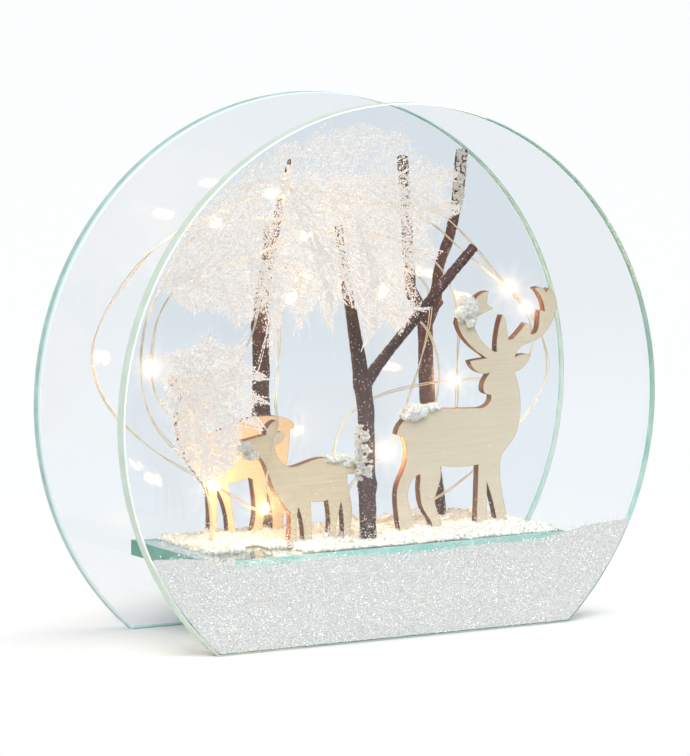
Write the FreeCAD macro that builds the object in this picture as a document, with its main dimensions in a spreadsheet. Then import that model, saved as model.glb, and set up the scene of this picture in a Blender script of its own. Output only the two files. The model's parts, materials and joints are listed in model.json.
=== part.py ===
"""Lighted winter-scene globe: two glass discs with flat feet, joined by a glass shelf that carries
a plywood deer family, real twigs, artificial snow and a battery light string.

Frame: origin at the middle of the footprint, X along the discs, +Y to the back, +Z up.
Millimetres throughout.
"""
import FreeCAD
import Part
import math
import os
from FreeCAD import Placement, Rotation, Vector

doc = FreeCAD.newDocument("winter_globe")
dims = doc.addObject("Spreadsheet::Sheet", "dims")

DRIVING_SIZES = {
    # glass
    "disc_radius": 100, "disc_centre_height": 75, "total_depth": 64.2, "glass_thick": 5,
    "arris": 0.4, "coat_thick": 0.2, "frost_thick": 0.12, "rim_margin": 0.8,
    "shelf_length": 134, "shelf_top": 30, "shelf_thick": 5, "bond_thick": 0.2,
    "wire_hole_dia": 7, "wire_hole_left": 49, "wire_hole_back": 6,
    # figures, twigs and snow
    "ply_thick": 3, "stag_front": -9.5, "doe_front": 11, "fawn_front": -14,
    "twig_left_thick": 5.8, "twig_middle_thick": 5.4, "twig_right_thick": 5.2,
    "glue_thick": 0.3, "hoof_glue_dia": 4.4, "twig_glue_dia": 9, "snow_depth": 1.3,
    # light string
    "wire_dia": 0.8, "bead_length": 4.2, "bead_dia": 2.8,
    # battery case, hung under the shelf
    "tape_thick": 1, "case_length": 74, "case_width": 49, "case_height": 18.5,
    "case_wall": 1.5, "switch_bay": 10.5, "lip_width": 1.5, "lip_thick": 1,
    "door_play": 0.15, "tongue_thick": 1.2, "rib_height": 0.5,
    "cell_dia": 14.2, "cell_length": 49.5, "nub_dia": 5.5, "nub_length": 1, "cell_pitch": 14.9,
    "contact_thick": 0.4, "knob_travel": 2.5, "knob_length": 3.5, "knob_width": 2,
}
for row, (alias, size) in enumerate(DRIVING_SIZES.items(), start=1):
    dims.set(f"A{row}", alias)
    dims.set(f"B{row}", str(size))
    dims.setAlias(f"B{row}", alias)
doc.recompute()

GLASS_FRONT = "(-dims.total_depth / 2 + dims.coat_thick)"
GLASS_BACK = "(dims.total_depth / 2)"
SHELF_BOTTOM = "(dims.shelf_top - dims.shelf_thick)"
CASE_TOP = f"({SHELF_BOTTOM} - dims.tape_thick)"
CASE_BOTTOM = f"({CASE_TOP} - dims.case_height)"
CASE_LEFT = "(-dims.case_length / 2)"
CASE_RIGHT = "(dims.case_length / 2)"
CASE_BACK = "(dims.case_width / 2)"

sub_parts = []


def size_of(alias):
    return float(dims.get(alias))


def add(kind, name, **bound):
    """A document object whose properties are bound to expressions on the sheet."""
    thing = doc.addObject(kind, name)
    for prop, expression in bound.items():
        thing.setExpression(prop.replace("__", "."), str(expression))
    return thing


def keep(thing, label):
    """Marks an object as a sub-part: its label names its file."""
    thing.Label = label
    sub_parts.append(thing)
    return thing


def block(name, x, y, z):
    """A box between two expressions along each axis."""
    return add("Part::Box", name,
               Length=f"({x[1]}) - ({x[0]})", Width=f"({y[1]}) - ({y[0]})",
               Height=f"({z[1]}) - ({z[0]})",
               Placement__Base__x=x[0], Placement__Base__y=y[0], Placement__Base__z=z[0])


def rod(name, radius, length, base, direction="Z"):
    """A cylinder from a base point along a row axis."""
    turns = {"Z": Rotation(), "X": Rotation(Vector(0, 1, 0), 90)}
    thing = add("Part::Cylinder", name, Radius=radius, Height=length)
    thing.Placement = Placement(Vector(), turns[direction])
    for axis, expression in zip("xyz", base):
        thing.setExpression(f"Placement.Base.{axis}", str(expression))
    return thing


def fuse(name, *shapes):
    thing = doc.addObject("Part::MultiFuse", name)
    thing.Shapes = list(shapes)
    return thing


def cut(name, base, *tools):
    thing = doc.addObject("Part::Cut", name)
    thing.Base = base
    thing.Tool = tools[0] if len(tools) == 1 else fuse(f"{name}_tools", *tools)
    return thing


def group(name, *shapes):
    """Separate solids that share one sub-part."""
    thing = doc.addObject("Part::Compound", name)
    thing.Links = list(shapes)
    return thing


def origin_plane(body, role):
    return next(plane for plane in body.Origin.OriginFeatures if plane.Role == role)


def sketch_in(body, role):
    sketch = body.newObject("Sketcher::SketchObject", f"{body.Name}_outline")
    sketch.AttachmentSupport = [(origin_plane(body, role), "")]
    sketch.MapMode = "FlatFace"
    return sketch


def add_outline(sketch, start, strokes):
    """Closed outline: a stroke of one point is straight, of two an arc, of more a smooth curve."""
    here = Vector(*start, 0)
    for stroke in strokes:
        points = [here] + [Vector(x, z, 0) for x, z in stroke]
        if len(points) == 2:
            curve = Part.LineSegment(*points)
        elif len(points) == 3:
            curve = Part.Arc(*points)
        else:
            curve = Part.BSplineCurve()
            curve.interpolate(points)
        sketch.addGeometry(curve, False)
        here = points[-1]


def plate(label, start, strokes, thick, front):
    """An upright sheet: an outline in X and Z, from its front face backwards."""
    body = keep(add("PartDesign::Body", label, Placement__Base__y=front), label)
    sketch = sketch_in(body, "XZ_Plane")
    add_outline(sketch, start, strokes)
    pad = body.newObject("PartDesign::Pad", f"{label}_pad")
    pad.Profile = sketch
    pad.setExpression("Length", thick)
    pad.Reversed = True
    sketch.Visibility = False
    return body


# ---------------------------------------------------------------- glass

def glass_disc(label, front):
    """A round pane cut off flat at the table, with ground arrises."""
    radius = size_of("disc_radius")
    centre_height = size_of("disc_centre_height")
    foot = math.acos(-centre_height / radius)
    body = keep(add("PartDesign::Body", label, Placement__Base__y=front), label)
    sketch = sketch_in(body, "XZ_Plane")
    circle = Part.Circle(Vector(0, centre_height, 0), Vector(0, 0, 1), radius)
    rim = sketch.addGeometry(Part.ArcOfCircle(circle, math.pi / 2 - foot, math.pi / 2 + foot), False)
    half = radius * math.sin(foot)
    base = sketch.addGeometry(Part.LineSegment(Vector(-half, 0, 0), Vector(half, 0, 0)), False)
    origin, start, end, centre = -1, 1, 2, 3
    import Sketcher
    sketch.addConstraint(Sketcher.Constraint("Coincident", rim, end, base, start))
    sketch.addConstraint(Sketcher.Constraint("Coincident", rim, start, base, end))
    sketch.addConstraint(Sketcher.Constraint("PointOnObject", base, start, origin))
    sketch.addConstraint(Sketcher.Constraint("PointOnObject", base, end, origin))
    sketch.addConstraint(Sketcher.Constraint("PointOnObject", rim, centre, origin - 1))
    height = sketch.addConstraint(
        Sketcher.Constraint("DistanceY", origin, start, rim, centre, centre_height))
    size = sketch.addConstraint(Sketcher.Constraint("Radius", rim, radius))
    sketch.setExpression(f"Constraints[{height}]", "dims.disc_centre_height")
    sketch.setExpression(f"Constraints[{size}]", "dims.disc_radius")
    pad = body.newObject("PartDesign::Pad", f"{label}_pad")
    pad.Profile = sketch
    pad.setExpression("Length", "dims.glass_thick")
    pad.Reversed = True
    doc.recompute()
    face_edges = [f"Edge{number}" for number, edge in enumerate(pad.Shape.Edges, start=1)
                  if edge.BoundBox.YLength < 0.01]
    arris = body.newObject("PartDesign::Chamfer", f"{label}_arris")
    arris.Base = (pad, face_edges)
    arris.setExpression("Size", "dims.arris")
    body.Tip = arris
    return body


def glass_shelf():
    """The shelf between the discs, with a drilled hole for the light string."""
    depth = f"({GLASS_BACK} - dims.glass_thick - dims.bond_thick)"
    front = f"({GLASS_FRONT} + dims.glass_thick + dims.bond_thick)"
    half = "dims.shelf_length / 2"
    slab = block("shelf_slab", (f"-{half}", half), (front, depth), (SHELF_BOTTOM, "dims.shelf_top"))
    hole = rod("shelf_hole", "dims.wire_hole_dia / 2", "dims.shelf_thick + 2",
               ("-dims.wire_hole_left", "dims.wire_hole_back", f"{SHELF_BOTTOM} - 1"))
    keep(cut("shelf", slab, hole), "glass_shelf")
    for label, low, high in (("front_glue_line", f"{front} - dims.bond_thick", front),
                             ("rear_glue_line", depth, f"{depth} + dims.bond_thick")):
        keep(block(label, (f"-{half}", half), (low, high), (SHELF_BOTTOM, "dims.shelf_top")), label)


glass_disc("front_glass_disc", GLASS_FRONT)
glass_disc("rear_glass_disc", f"{GLASS_BACK} - dims.glass_thick")
glass_shelf()


def rim_point(angle_deg, inset):
    """A point just inside the disc's edge, as X and Z."""
    reach = size_of("disc_radius") - inset
    angle = math.radians(angle_deg)
    return reach * math.cos(angle), size_of("disc_centre_height") + reach * math.sin(angle)


def glitter_band():
    """White glitter coat over the foot of the front pane, up to the shelf, with a wavy top edge."""
    inset = size_of("rim_margin")
    left_top, right_top = rim_point(205, inset), rim_point(-25, inset)
    left_foot = (-math.sqrt((size_of("disc_radius") - inset) ** 2
                            - (size_of("disc_centre_height") - inset) ** 2), inset)
    right_foot = (-left_foot[0], inset)
    wave = [(82, 32.6), (70, 31.4), (60, 29.2), (48, 28.3), (34, 28.8), (20, 28.0), (5, 27.6),
            (-12, 28.3), (-26, 28.8), (-40, 27.9), (-53, 28.6), (-62, 29.8), (-71, 31.6), (-82, 32.8)]
    strokes = [[rim_point(215, inset), left_foot], [right_foot],
               [rim_point(-35, inset), right_top], wave + [left_top]]
    plate("front_glitter_band", left_top, strokes, "dims.coat_thick",
          f"{GLASS_FRONT} - dims.coat_thick")


def frost_prints():
    """Sprayed pine-branch frost on the front pane: a large spray and a small one."""
    inset = size_of("rim_margin")
    upper_tips = [(2, 167), (10, 159), (24, 152), (18, 146), (25, 139), (12, 133), (16, 124), (7, 118),
                  (10, 108), (1, 100), (-5, 104), (-12, 97), (-15, 108), (-21, 112), (-26, 103),
                  (-30, 111), (-37, 102), (-41, 113), (-47, 91), (-51, 108), (-58, 106), (-66, 110),
                  (-76, 111)]
    left_edge = rim_point(153, inset)
    strokes = [[rim_point(130, inset), rim_point(104, inset)]]
    strokes += [[point] for point in upper_tips + [left_edge]]
    plate("frost_spray_upper", left_edge, strokes, "dims.frost_thick",
          f"{GLASS_FRONT} - dims.frost_thick")
    lower_tips = [(-76, 101), (-70, 106), (-64, 101), (-55, 101), (-57, 95), (-47, 90), (-54, 86),
                  (-46, 81), (-52, 79), (-49, 72), (-57, 73), (-58, 64), (-64, 57), (-71, 54), (-77, 60),
                  (-83, 68), (-82, 76), (-88, 84), (-83, 90), (-88, 99)]
    plate("frost_spray_lower", lower_tips[-1], [[point] for point in lower_tips], "dims.frost_thick",
          f"{GLASS_FRONT} - dims.frost_thick")


glitter_band()
frost_prints()

# ---------------------------------------------------------------- plywood figures

FLOOR = size_of("shelf_top") + size_of("glue_thick")

STAG_START = (48, 74.9)
STAG = [
    [(47.8, 72.8), (46, 71.3), (43, 70.8)],                                 # nape to withers
    [(25.7, 71.7)],                                                         # back
    [(18.7, 71.3), (15, 69), (12.5, 66.2), (11.8, 64)],                     # rump and tail
    [(14.4, 62.9)],
    [(15.6, 56), (14.6, 52), (12.4, 47.5), (11.9, 40), (13.3, FLOOR)],      # hind leg, back edge
    [(18.4, FLOOR)],
    [(16.8, 39.5), (16.2, 45), (18, 48.6), (20.4, 50.2)],
    [(21, 49.8)],
    [(20.8, 42.5), (22, 38.5), (24.4, 35), (25.5, FLOOR)],                  # near hind leg
    [(29.3, FLOOR)],
    [(28, 36), (26.5, 41), (27.6, 45), (28.6, 52)],
    [(29.3, 52.5)],
    [(36.5, 51.6), (43.2, 51.9)],                                           # belly
    [(43, 44), (42.4, FLOOR)],                                              # fore legs
    [(46.7, FLOOR)],
    [(46.5, 45.8)],
    [(48.8, 39.5), (50.8, FLOOR)],
    [(55, FLOOR)],
    [(53.3, 38.5), (51.6, 49), (52.3, 54.2), (56.6, 59.3), (59.3, 66.5), (59.2, 75.3), (57.3, 81.9)],
    [(61.5, 84.2), (63.6, 87.4)],                                           # right ear
    [(60.7, 87.8), (57.4, 87)],
    [(59, 89.8), (66.7, 92.8), (71.6, 97.6), (73.6, 104.5), (70.6, 109.4)],  # right antler
    [(69.4, 108.2)],
    [(67.2, 109.9), (64.8, 109.5)],
    [(68, 105.5), (69, 101.7)],
    [(67.2, 102.2)],
    [(66.7, 98), (65.6, 94.8), (63.4, 94.4)],
    [(62.8, 97.8), (61.6, 98.2)],
    [(59, 95.4), (56.2, 93)],
    [(54.8, 93)],
    [(54.1, 97.3), (52.6, 101.4), (51.3, 98.5), (51.1, 89.3)],              # brow tine
    [(49.5, 89.3)],
    [(46, 91.5), (42.6, 95.8), (41.6, 100), (44.5, 102.2), (49, 103.8)],    # left antler
    [(47.6, 104.6), (46.4, 105.5)],
    [(46.6, 107.6), (47.2, 109.6)],
    [(44.2, 109), (41.4, 106.6)],
    [(38.5, 104.4)],
    [(35.6, 101.2), (35.1, 99.5)],
    [(37.2, 95), (41.8, 90.4), (46.3, 87.3)],
    [(43, 87.1), (39.8, 86.7)],                                             # left ear
    [(41.6, 83.8), (47.7, 82.4)],
    [(45.6, 79.6), (45, 77), (48, 74.9)],                                   # cheek
]

FAWN_START = (-40, 68)
FAWN = [
    [(-48.5, 66.5)],                                                        # forehead to nose
    [(-46, 63.6), (-42, 60.6), (-39.4, 56), (-37, 50), (-34.5, 46), (-31, 42)],
    [(-30.9, 36), (-32, FLOOR)],                                            # fore legs
    [(-28.5, FLOOR)],
    [(-28.5, 40), (-28, 43.5)],
    [(-26.5, 39), (-26, FLOOR)],
    [(-23, FLOOR)],
    [(-23, 38), (-23.4, 45)],
    [(-20, 44.6), (-17, 45)],                                               # belly
    [(-16.2, 40), (-16.3, 35), (-18, FLOOR)],                               # hind legs
    [(-14.6, FLOOR)],
    [(-13.6, 37), (-12, 44)],
    [(-11, 38), (-11.4, FLOOR)],
    [(-8.8, FLOOR)],
    [(-8.1, 37), (-8, 43), (-9.2, 48), (-9.4, 53.4)],
    [(-6.2, 54.2), (-6.4, 56)],                                             # tail
    [(-11, 57), (-18, 59), (-26.5, 57.5), (-31.5, 57), (-35, 59.6), (-37, 64.6)],
    [(-34, 65.6), (-33, 67.6)],                                             # right ear
    [(-34.6, 68.7), (-36, 68)],
    [(-35.4, 70.4), (-36, 72.5)],                                           # left ear
    [(-38.8, 71), (-40, 68)],
]

DOE_START = (-60.8, 84)
DOE = [
    [(-59.6, 81.4), (-56.4, 79.8)],                                         # left ear, lower edge
    [(-58.4, 76), (-58.9, 71), (-58, 64.5), (-55.6, 58.5), (-51.6, 52.4), (-48, 48)],
    [(-47.2, 41), (-47.8, FLOOR)],                                          # fore legs
    [(-44.6, FLOOR)],
    [(-44.4, 40), (-44.5, 47.6)],
    [(-42, 42.5), (-40.4, FLOOR)],
    [(-37.7, FLOOR)],
    [(-38.3, 38), (-39.5, 44), (-40.4, 49)],
    [(-36.5, 49.4), (-32.6, 50.4)],                                         # belly
    [(-31.2, 49.6)],
    [(-30.4, 44), (-30.4, 36), (-33, FLOOR)],                               # hind legs
    [(-28.8, FLOOR)],
    [(-26.8, 37), (-26.2, 46)],
    [(-24.4, 41), (-24.2, FLOOR)],
    [(-20.6, FLOOR)],
    [(-19.4, 38), (-19.2, 46), (-18, 55), (-17, 65.4)],
    [(-16, 65.3)],
    [(-15.4, 66.9), (-16.6, 68.2), (-20, 69.6), (-25, 70.4), (-34.5, 69.4), (-39, 67.8), (-43.4, 66.6)],
    [(-47, 66.4), (-49.8, 68.6), (-50.6, 72)],                              # back of the neck
    [(-48.8, 73), (-46.8, 73.4)],                                           # chin of the head turned back
    [(-45.9, 75.2), (-46.6, 77.4), (-48.4, 79.4)],                          # cheek
    [(-44.6, 80.4), (-43.2, 83.2)],                                         # right ear
    [(-46, 83.9), (-48.8, 83.2)],
    [(-50.4, 84.3), (-54, 84.3), (-55.8, 83.4)],                            # top of the head
    [(-58, 84.3), (-60.8, 84)],
]

plate("stag", STAG_START, STAG, "dims.ply_thick", "dims.stag_front")
plate("fawn", FAWN_START, FAWN, "dims.ply_thick", "dims.fawn_front")
plate("doe", DOE_START, DOE, "dims.ply_thick", "dims.doe_front")

# ---------------------------------------------------------------- twigs


def along(start, end):
    """Turns the Z axis from one point towards another."""
    return Rotation(Vector(0, 0, 1), end - start)


def twig(label, thick, joints, links):
    """Tapered lengths of branch between joints of (x, y, z, relative thickness)."""
    pieces = []
    for number, (first, second) in enumerate(links):
        start, end = Vector(*joints[first][:3]), Vector(*joints[second][:3])
        cone = add("Part::Cone", f"{label}_length_{number}",
                   Radius1=f"dims.{thick} / 2 * {joints[first][3]}",
                   Radius2=f"dims.{thick} / 2 * {joints[second][3]}")
        cone.Height = (end - start).Length
        cone.Placement = Placement(start, along(start, end))
        pieces.append(cone)
    inner = {first for first, second in links} - {0}
    for number in sorted(inner):
        knot = add("Part::Sphere", f"{label}_knot_{number}",
                   Radius=f"dims.{thick} / 2 * {joints[number][3]} * 1.06")
        knot.Placement = Placement(Vector(*joints[number][:3]), Rotation())
        pieces.append(knot)
    below_glue = block(f"{label}_foot_cut", ("-60", "60"), ("-30", "30"),
                       ("0", "dims.shelf_top + dims.glue_thick"))
    return keep(cut(f"{label}_wood", fuse(f"{label}_lengths", *pieces), below_glue), label)


twig("left_twig", "twig_left_thick",
     [(-22.2, 20.4, 29, 1.05), (-22.6, 20.8, 72, 1), (-22.2, 20.9, 104, 0.95), (-19.6, 20.6, 122, 0.72),
      (-16.6, 20.2, 134, 0.5), (-12.2, 19.6, 154, 0.3), (-21, 19.2, 132, 0.42)],
     [(0, 1), (1, 2), (2, 3), (3, 4), (4, 5), (3, 6)])
twig("middle_twig", "twig_middle_thick",
     [(-3.4, -16.8, 29, 1.05), (-3.8, -16.8, 62, 1.02), (-4.8, -16.8, 82.5, 1.05), (-8.8, -17, 105, 0.72),
      (-12.4, -17.3, 122, 0.6), (-14.8, -17.6, 135, 0.5), (3.2, -16.4, 90.5, 0.66),
      (21.4, -16, 107.8, 0.62), (38, -15.4, 125.2, 0.6)],
     [(0, 1), (1, 2), (2, 3), (3, 4), (4, 5), (2, 6), (6, 7), (7, 8)])
twig("right_twig", "twig_right_thick",
     [(40, 10.8, 29, 1.1), (35.6, 10.8, 71, 1.05), (34.6, 10.8, 99, 0.95), (29, 10.8, 109, 0.66),
      (27.8, 10.9, 127, 0.74), (25.8, 11, 154, 0.72), (42, 10.6, 104.4, 0.8), (40.6, 10.4, 118, 0.62),
      (45, 10.2, 138, 0.74), (48.4, 10, 155.4, 0.78)],
     [(0, 1), (1, 2), (2, 3), (3, 4), (4, 5), (2, 6), (6, 7), (7, 8), (8, 9)])

# ---------------------------------------------------------------- glue and snow


def glue_spots(label, spots, dia):
    """Flat drops of clear glue on the shelf, one under each foot."""
    drops = [rod(f"{label}_{number}", f"dims.{dia} / 2", "dims.glue_thick", (x, y, "dims.shelf_top"))
             for number, (x, y) in enumerate(spots)]
    return keep(group(f"{label}_drops", *drops), label)


def hoof_spots(xs, front):
    middle = size_of(front) + size_of("ply_thick") / 2
    return [(x, middle) for x in xs]


figure_glue = glue_spots(
    "figure_glue",
    hoof_spots((15.9, 27.4, 44.6, 52.9), "stag_front")
    + hoof_spots((-30.2, -24.6, -16.3, -10.1), "fawn_front")
    + hoof_spots((-46.2, -39, -31, -22.4), "doe_front"), "hoof_glue_dia")
twig_glue = glue_spots("twig_glue", [(-22.2, 20.4), (-3.4, -16.8), (40, 10.8)], "twig_glue_dia")


def mound(name, centre, half_sizes):
    """An ellipsoid with the given half sizes along X, Y and Z."""
    x, y, z = half_sizes
    thing = doc.addObject("Part::Ellipsoid", name)
    thing.Radius1, thing.Radius2, thing.Radius3 = z, x, y
    thing.Placement = Placement(Vector(*centre), Rotation())
    return thing


def clump(label, mounds, *supports):
    """A lump of snow stuck on a figure or twig, moulded to what it sits on."""
    blobs = [mound(f"{label}_{number}", centre, sizes) for number, (centre, sizes) in enumerate(mounds)]
    return keep(cut(f"{label}_lump", fuse(f"{label}_blobs", *blobs), *supports), label)


def snow_bed():
    """Loose-looking snow glued over the shelf, drifted round the hooves."""
    base = block("snow_base", ("-61", "65"), ("-25.5", "25.5"),
                 ("dims.shelf_top", "dims.shelf_top + dims.snow_depth"))
    drifts = [((-44, 8.5, 30), (11, 8, 3.4)), ((-24, 14, 30), (13, 9, 3)), ((-22, -12, 30), (16, 8, 2.8)),
              ((4, -14, 30), (15, 7, 2.4)), ((22, -7, 30), (14, 7, 2.8)), ((48, -7, 30), (14, 8, 3.2)),
              ((42, 13, 30), (14, 8, 4)), ((-52, -8, 30), (9, 9, 2.6)), ((10, 17, 30), (18, 7, 2.4))]
    whole = fuse("snow_drifts", base,
                 *[mound(f"drift_{number}", *drift) for number, drift in enumerate(drifts)])
    above = block("above_shelf", ("-67", "67"), ("-26", "26"), ("dims.shelf_top", "dims.shelf_top + 20"))
    layer = doc.addObject("Part::Common", "snow_layer")
    layer.Base, layer.Tool = whole, above
    hole = rod("snow_hole", "dims.wire_dia * 1.5", "20",
               ("-dims.wire_hole_left", "dims.wire_hole_back", "dims.shelf_top - 5"))
    feet = [part for part in sub_parts
            if part.Label in ("stag", "doe", "fawn", "left_twig", "middle_twig", "right_twig")]
    return keep(cut("snow_on_shelf", layer, hole, figure_glue, twig_glue, *feet), "snow_bed")


def part_named(label):
    return next(part for part in sub_parts if part.Label == label)


snow_bed()
clump("snow_on_antler", [((41.8, -9.8, 103.6), (5, 3.4, 4.6)), ((37.8, -9.6, 101.4), (3.4, 2.8, 3.4)),
                         ((42.6, -9.4, 98.4), (3.4, 2.8, 3)), ((39.4, -9.4, 106.4), (3, 2.6, 2.4))],
      part_named("stag"))
clump("snow_on_stag_back", [((19, -9, 71), (4.8, 3, 2.8)), ((24.6, -8.6, 72), (4.4, 2.4, 1.5)),
                            ((15.6, -8.6, 70), (2.2, 2.4, 1.8))], part_named("stag"))
clump("snow_on_fawn_back", [((-13.6, -12.8, 58.1), (5, 2.4, 1.5)), ((-9.4, -12.6, 56.6), (3.6, 2.2, 1.7)),
                            ((-7, -12.2, 55.2), (1.8, 1.8, 1.5))], part_named("fawn"))
clump("snow_under_fawn_chin", [((-47.4, -12.8, 64.4), (2.8, 2.2, 2)), ((-44.4, -12.6, 61.8), (2.8, 2.1, 1.8))],
      part_named("fawn"))
clump("snow_on_middle_twig", [((-5.4, -18, 62), (2.6, 2.6, 7)), ((-4.6, -18.6, 54.6), (2.4, 2.2, 4.6))],
      part_named("middle_twig"))
clump("snow_on_left_twig", [((-13.4, 18.6, 149), (2, 2, 5)), ((-20.8, 18.2, 131), (2, 2, 3.2))],
      part_named("left_twig"))
clump("snow_on_right_twig", [((47.2, 8.4, 150), (2.4, 2.2, 7)), ((46, 8.6, 141.6), (1.8, 2, 4.6))],
      part_named("right_twig"))

# ---------------------------------------------------------------- light string

# Route of the paired wire from the grommet on the battery case, up through the hole in the shelf and
# in loose loops between the twigs. A point whose fourth entry is True starts a run with a light on it.
WIRE_ROUTE = [
    (-39, 6, 14.5), (-45, 6, 14.5), (-49, 6, 19.5), (-49.4, 5.8, 32), (-50, 5, 42), (-54, 4, 54),
    (-65, 2, 63), (-74, 0, 72), (-79, -2, 83), (-80, -3, 94), (-78, -2, 104), (-73, 0, 113),
    (-65, 3.5, 122), (-57, 7.5, 129.5), (-48, 11, 134, True), (-41, 12, 136), (-31, 11, 136), (-20, 7, 135), (-9, 2, 138),
    (6, -2, 140), (20, -4, 140), (33, -3, 136), (45, -1.5, 125.3), (57.5, 0.5, 112.5, True),
    (65.5, 2, 105.5), (72, 3.5, 96.3), (73.5, 5, 86.2), (68, 7, 80), (59, 8, 78), (49, 8.5, 78, True), (39, 6, 78.5),
    (25, 3, 78), (10, 1, 76), (-2, -1, 71), (-8, -3, 63), (-10, -4, 52), (-17, -4, 43), (-28, -4, 39),
    (-39, -3, 42), (-47, 0, 48, True), (-56, 1, 53), (-69, 5, 61), (-80, 9, 71), (-86, 13, 82),
    (-88, 15, 93), (-84, 16, 104), (-76, 16, 115), (-67, 14, 126), (-58, 12, 132), (-45, 11, 138),
    (-30, 9, 143, True), (-20, 8, 145), (-7, 6, 144), (9, 4, 141), (22, 3, 137), (34, 2, 131),
    (44, 2.5, 122), (57, 6, 113.8), (68.9, 7.5, 103.8, True), (75.9, 8.5, 97.8), (79.5, 7.5, 88.9), (80, 5, 79), (74, 4, 69),
    (65, 3, 61), (50, 2, 49), (36, 1, 41), (22, 0, 36), (9, -2, 34), (1, -3, 35), (-4, -3, 40),
    (-3, -3, 47), (3, -3, 52), (9, -2.5, 55.5, True), (15, -2, 60), (20, 0, 70), (26, 1, 83),
    (31, 2, 97), (32, 2, 108), (27, 2, 115), (19, 2, 118), (14, 2, 114, True), (12, 1, 107),
    (16, -1, 102), (23, -3, 102), (28, -4, 96), (31, -4, 87), (32, -3, 78), (30, -2, 69),
    (31, -1, 62), (36, 1, 60), (42, 3, 64), (43, 4, 73), (43, 4, 85), (44, 4, 97), (42, 4, 108),
    (35, 3, 119), (24, 3, 125), (12, 2, 129.5), (-1, 1, 131), (-13, 0, 130.5, True), (-21, 0, 130), (-32, 2, 126),
    (-44, 4, 121), (-55, 6, 119), (-64, 7, 113), (-68, 9, 104), (-68, 12, 94, True), (-68, 12, 83),
    (-66, 9, 76), (-61, 5, 70), (-53, 3, 71), (-47, 2, 79), (-41, 0, 92), (-37, -2, 102), (-36, -2, 112),
    (-32, -3, 119), (-24, -3, 122), (-20, -4, 115, True), (-31, -6, 107), (-33, -11, 97),
    (-36, -15, 87), (-39, -18, 79), (-38, -19, 71), (-41, -19, 63), (-42, -18, 55), (-40, -14, 49),
    (-38.3, -10, 43.2),
]


def rounded_path(points, share=0.45):
    """Straight runs joined by tangent arcs, each as large as its two runs allow."""
    edges, radii = [], []
    here = points[0]
    for before, corner, after in zip(points, points[1:], points[2:]):
        back, ahead = before - corner, after - corner
        setback = share * min(back.Length, ahead.Length)
        turn = math.pi - back.getAngle(ahead)
        radii.append(setback / math.tan(turn / 2))
        back.normalize()
        ahead.normalize()
        start, end = corner + back * setback, corner + ahead * setback
        inward = (back + ahead).normalize()
        middle = corner + inward * (radii[-1] / math.cos(turn / 2) - radii[-1])
        edges += [Part.LineSegment(here, start).toShape(), Part.Arc(start, middle, end).toShape()]
        here = end
    edges.append(Part.LineSegment(here, points[-1]).toShape())
    return Part.Wire(edges), radii


def light_wire(points):
    """The paired copper wire, as one round solid of its overall width."""
    path, radii = rounded_path(points)
    radius = size_of("wire_dia") / 2
    profile = Part.Wire([Part.makeCircle(radius, points[0], points[1] - points[0])])
    tube = doc.addObject("Part::Feature", "light_wire_tube")
    tube.Shape = path.makePipeShell([profile], True, False)
    expected = math.pi * radius ** 2 * path.Length
    print(f"light wire {path.Length:.0f} mm, smallest arc {min(radii):.1f} mm,"
          f" volume {tube.Shape.Volume / expected:.4f} of section x length")
    return keep(tube, "light_wire")


def led_bead(label, centre, direction):
    """A clear resin drop moulded over a chip light, drawn out along the wire."""
    bead = add("Part::Ellipsoid", f"{label}_drop", Radius1="dims.bead_length / 2",
               Radius2="dims.bead_dia / 2", Radius3="dims.bead_dia / 2")
    bead.Placement = Placement(centre, Rotation(Vector(0, 0, 1), direction))
    return keep(bead, label)


route = [Vector(*point[:3]) for point in WIRE_ROUTE]
light_wire(route)
lit_runs = [number for number, point in enumerate(WIRE_ROUTE) if len(point) > 3]
for count, number in enumerate(lit_runs, start=1):
    led_bead(f"led_bead_{count:02d}", (route[number] + route[number + 1]) / 2,
             route[number + 1] - route[number])
led_bead(f"led_bead_{len(lit_runs) + 1:02d}", route[-1], route[-1] - route[-2])

# ---------------------------------------------------------------- battery case

BAY_LEFT = f"({CASE_LEFT} + 2 * dims.case_wall + dims.switch_bay)"
BAY_RIGHT = f"({CASE_RIGHT} - dims.case_wall)"
INNER_BACK = f"({CASE_BACK} - dims.case_wall)"
CASE_CEILING = f"({CASE_TOP} - dims.case_wall)"
TONGUE_BOTTOM = f"({CASE_BOTTOM} + dims.lip_thick + dims.door_play)"
TONGUE_TOP = f"({TONGUE_BOTTOM} + dims.tongue_thick)"
LIP_EDGE = f"({INNER_BACK} - dims.lip_width)"
FLOOR_TOP = f"({CASE_BOTTOM} + dims.case_wall)"
SWITCH_MID = f"({CASE_LEFT} + dims.case_wall + dims.switch_bay / 2)"
WIRE_START = WIRE_ROUTE[0]
SWITCH_FRONT, SWITCH_BACK = "-13", "-3"
KNOB_FRONT = "-11.8"


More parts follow.
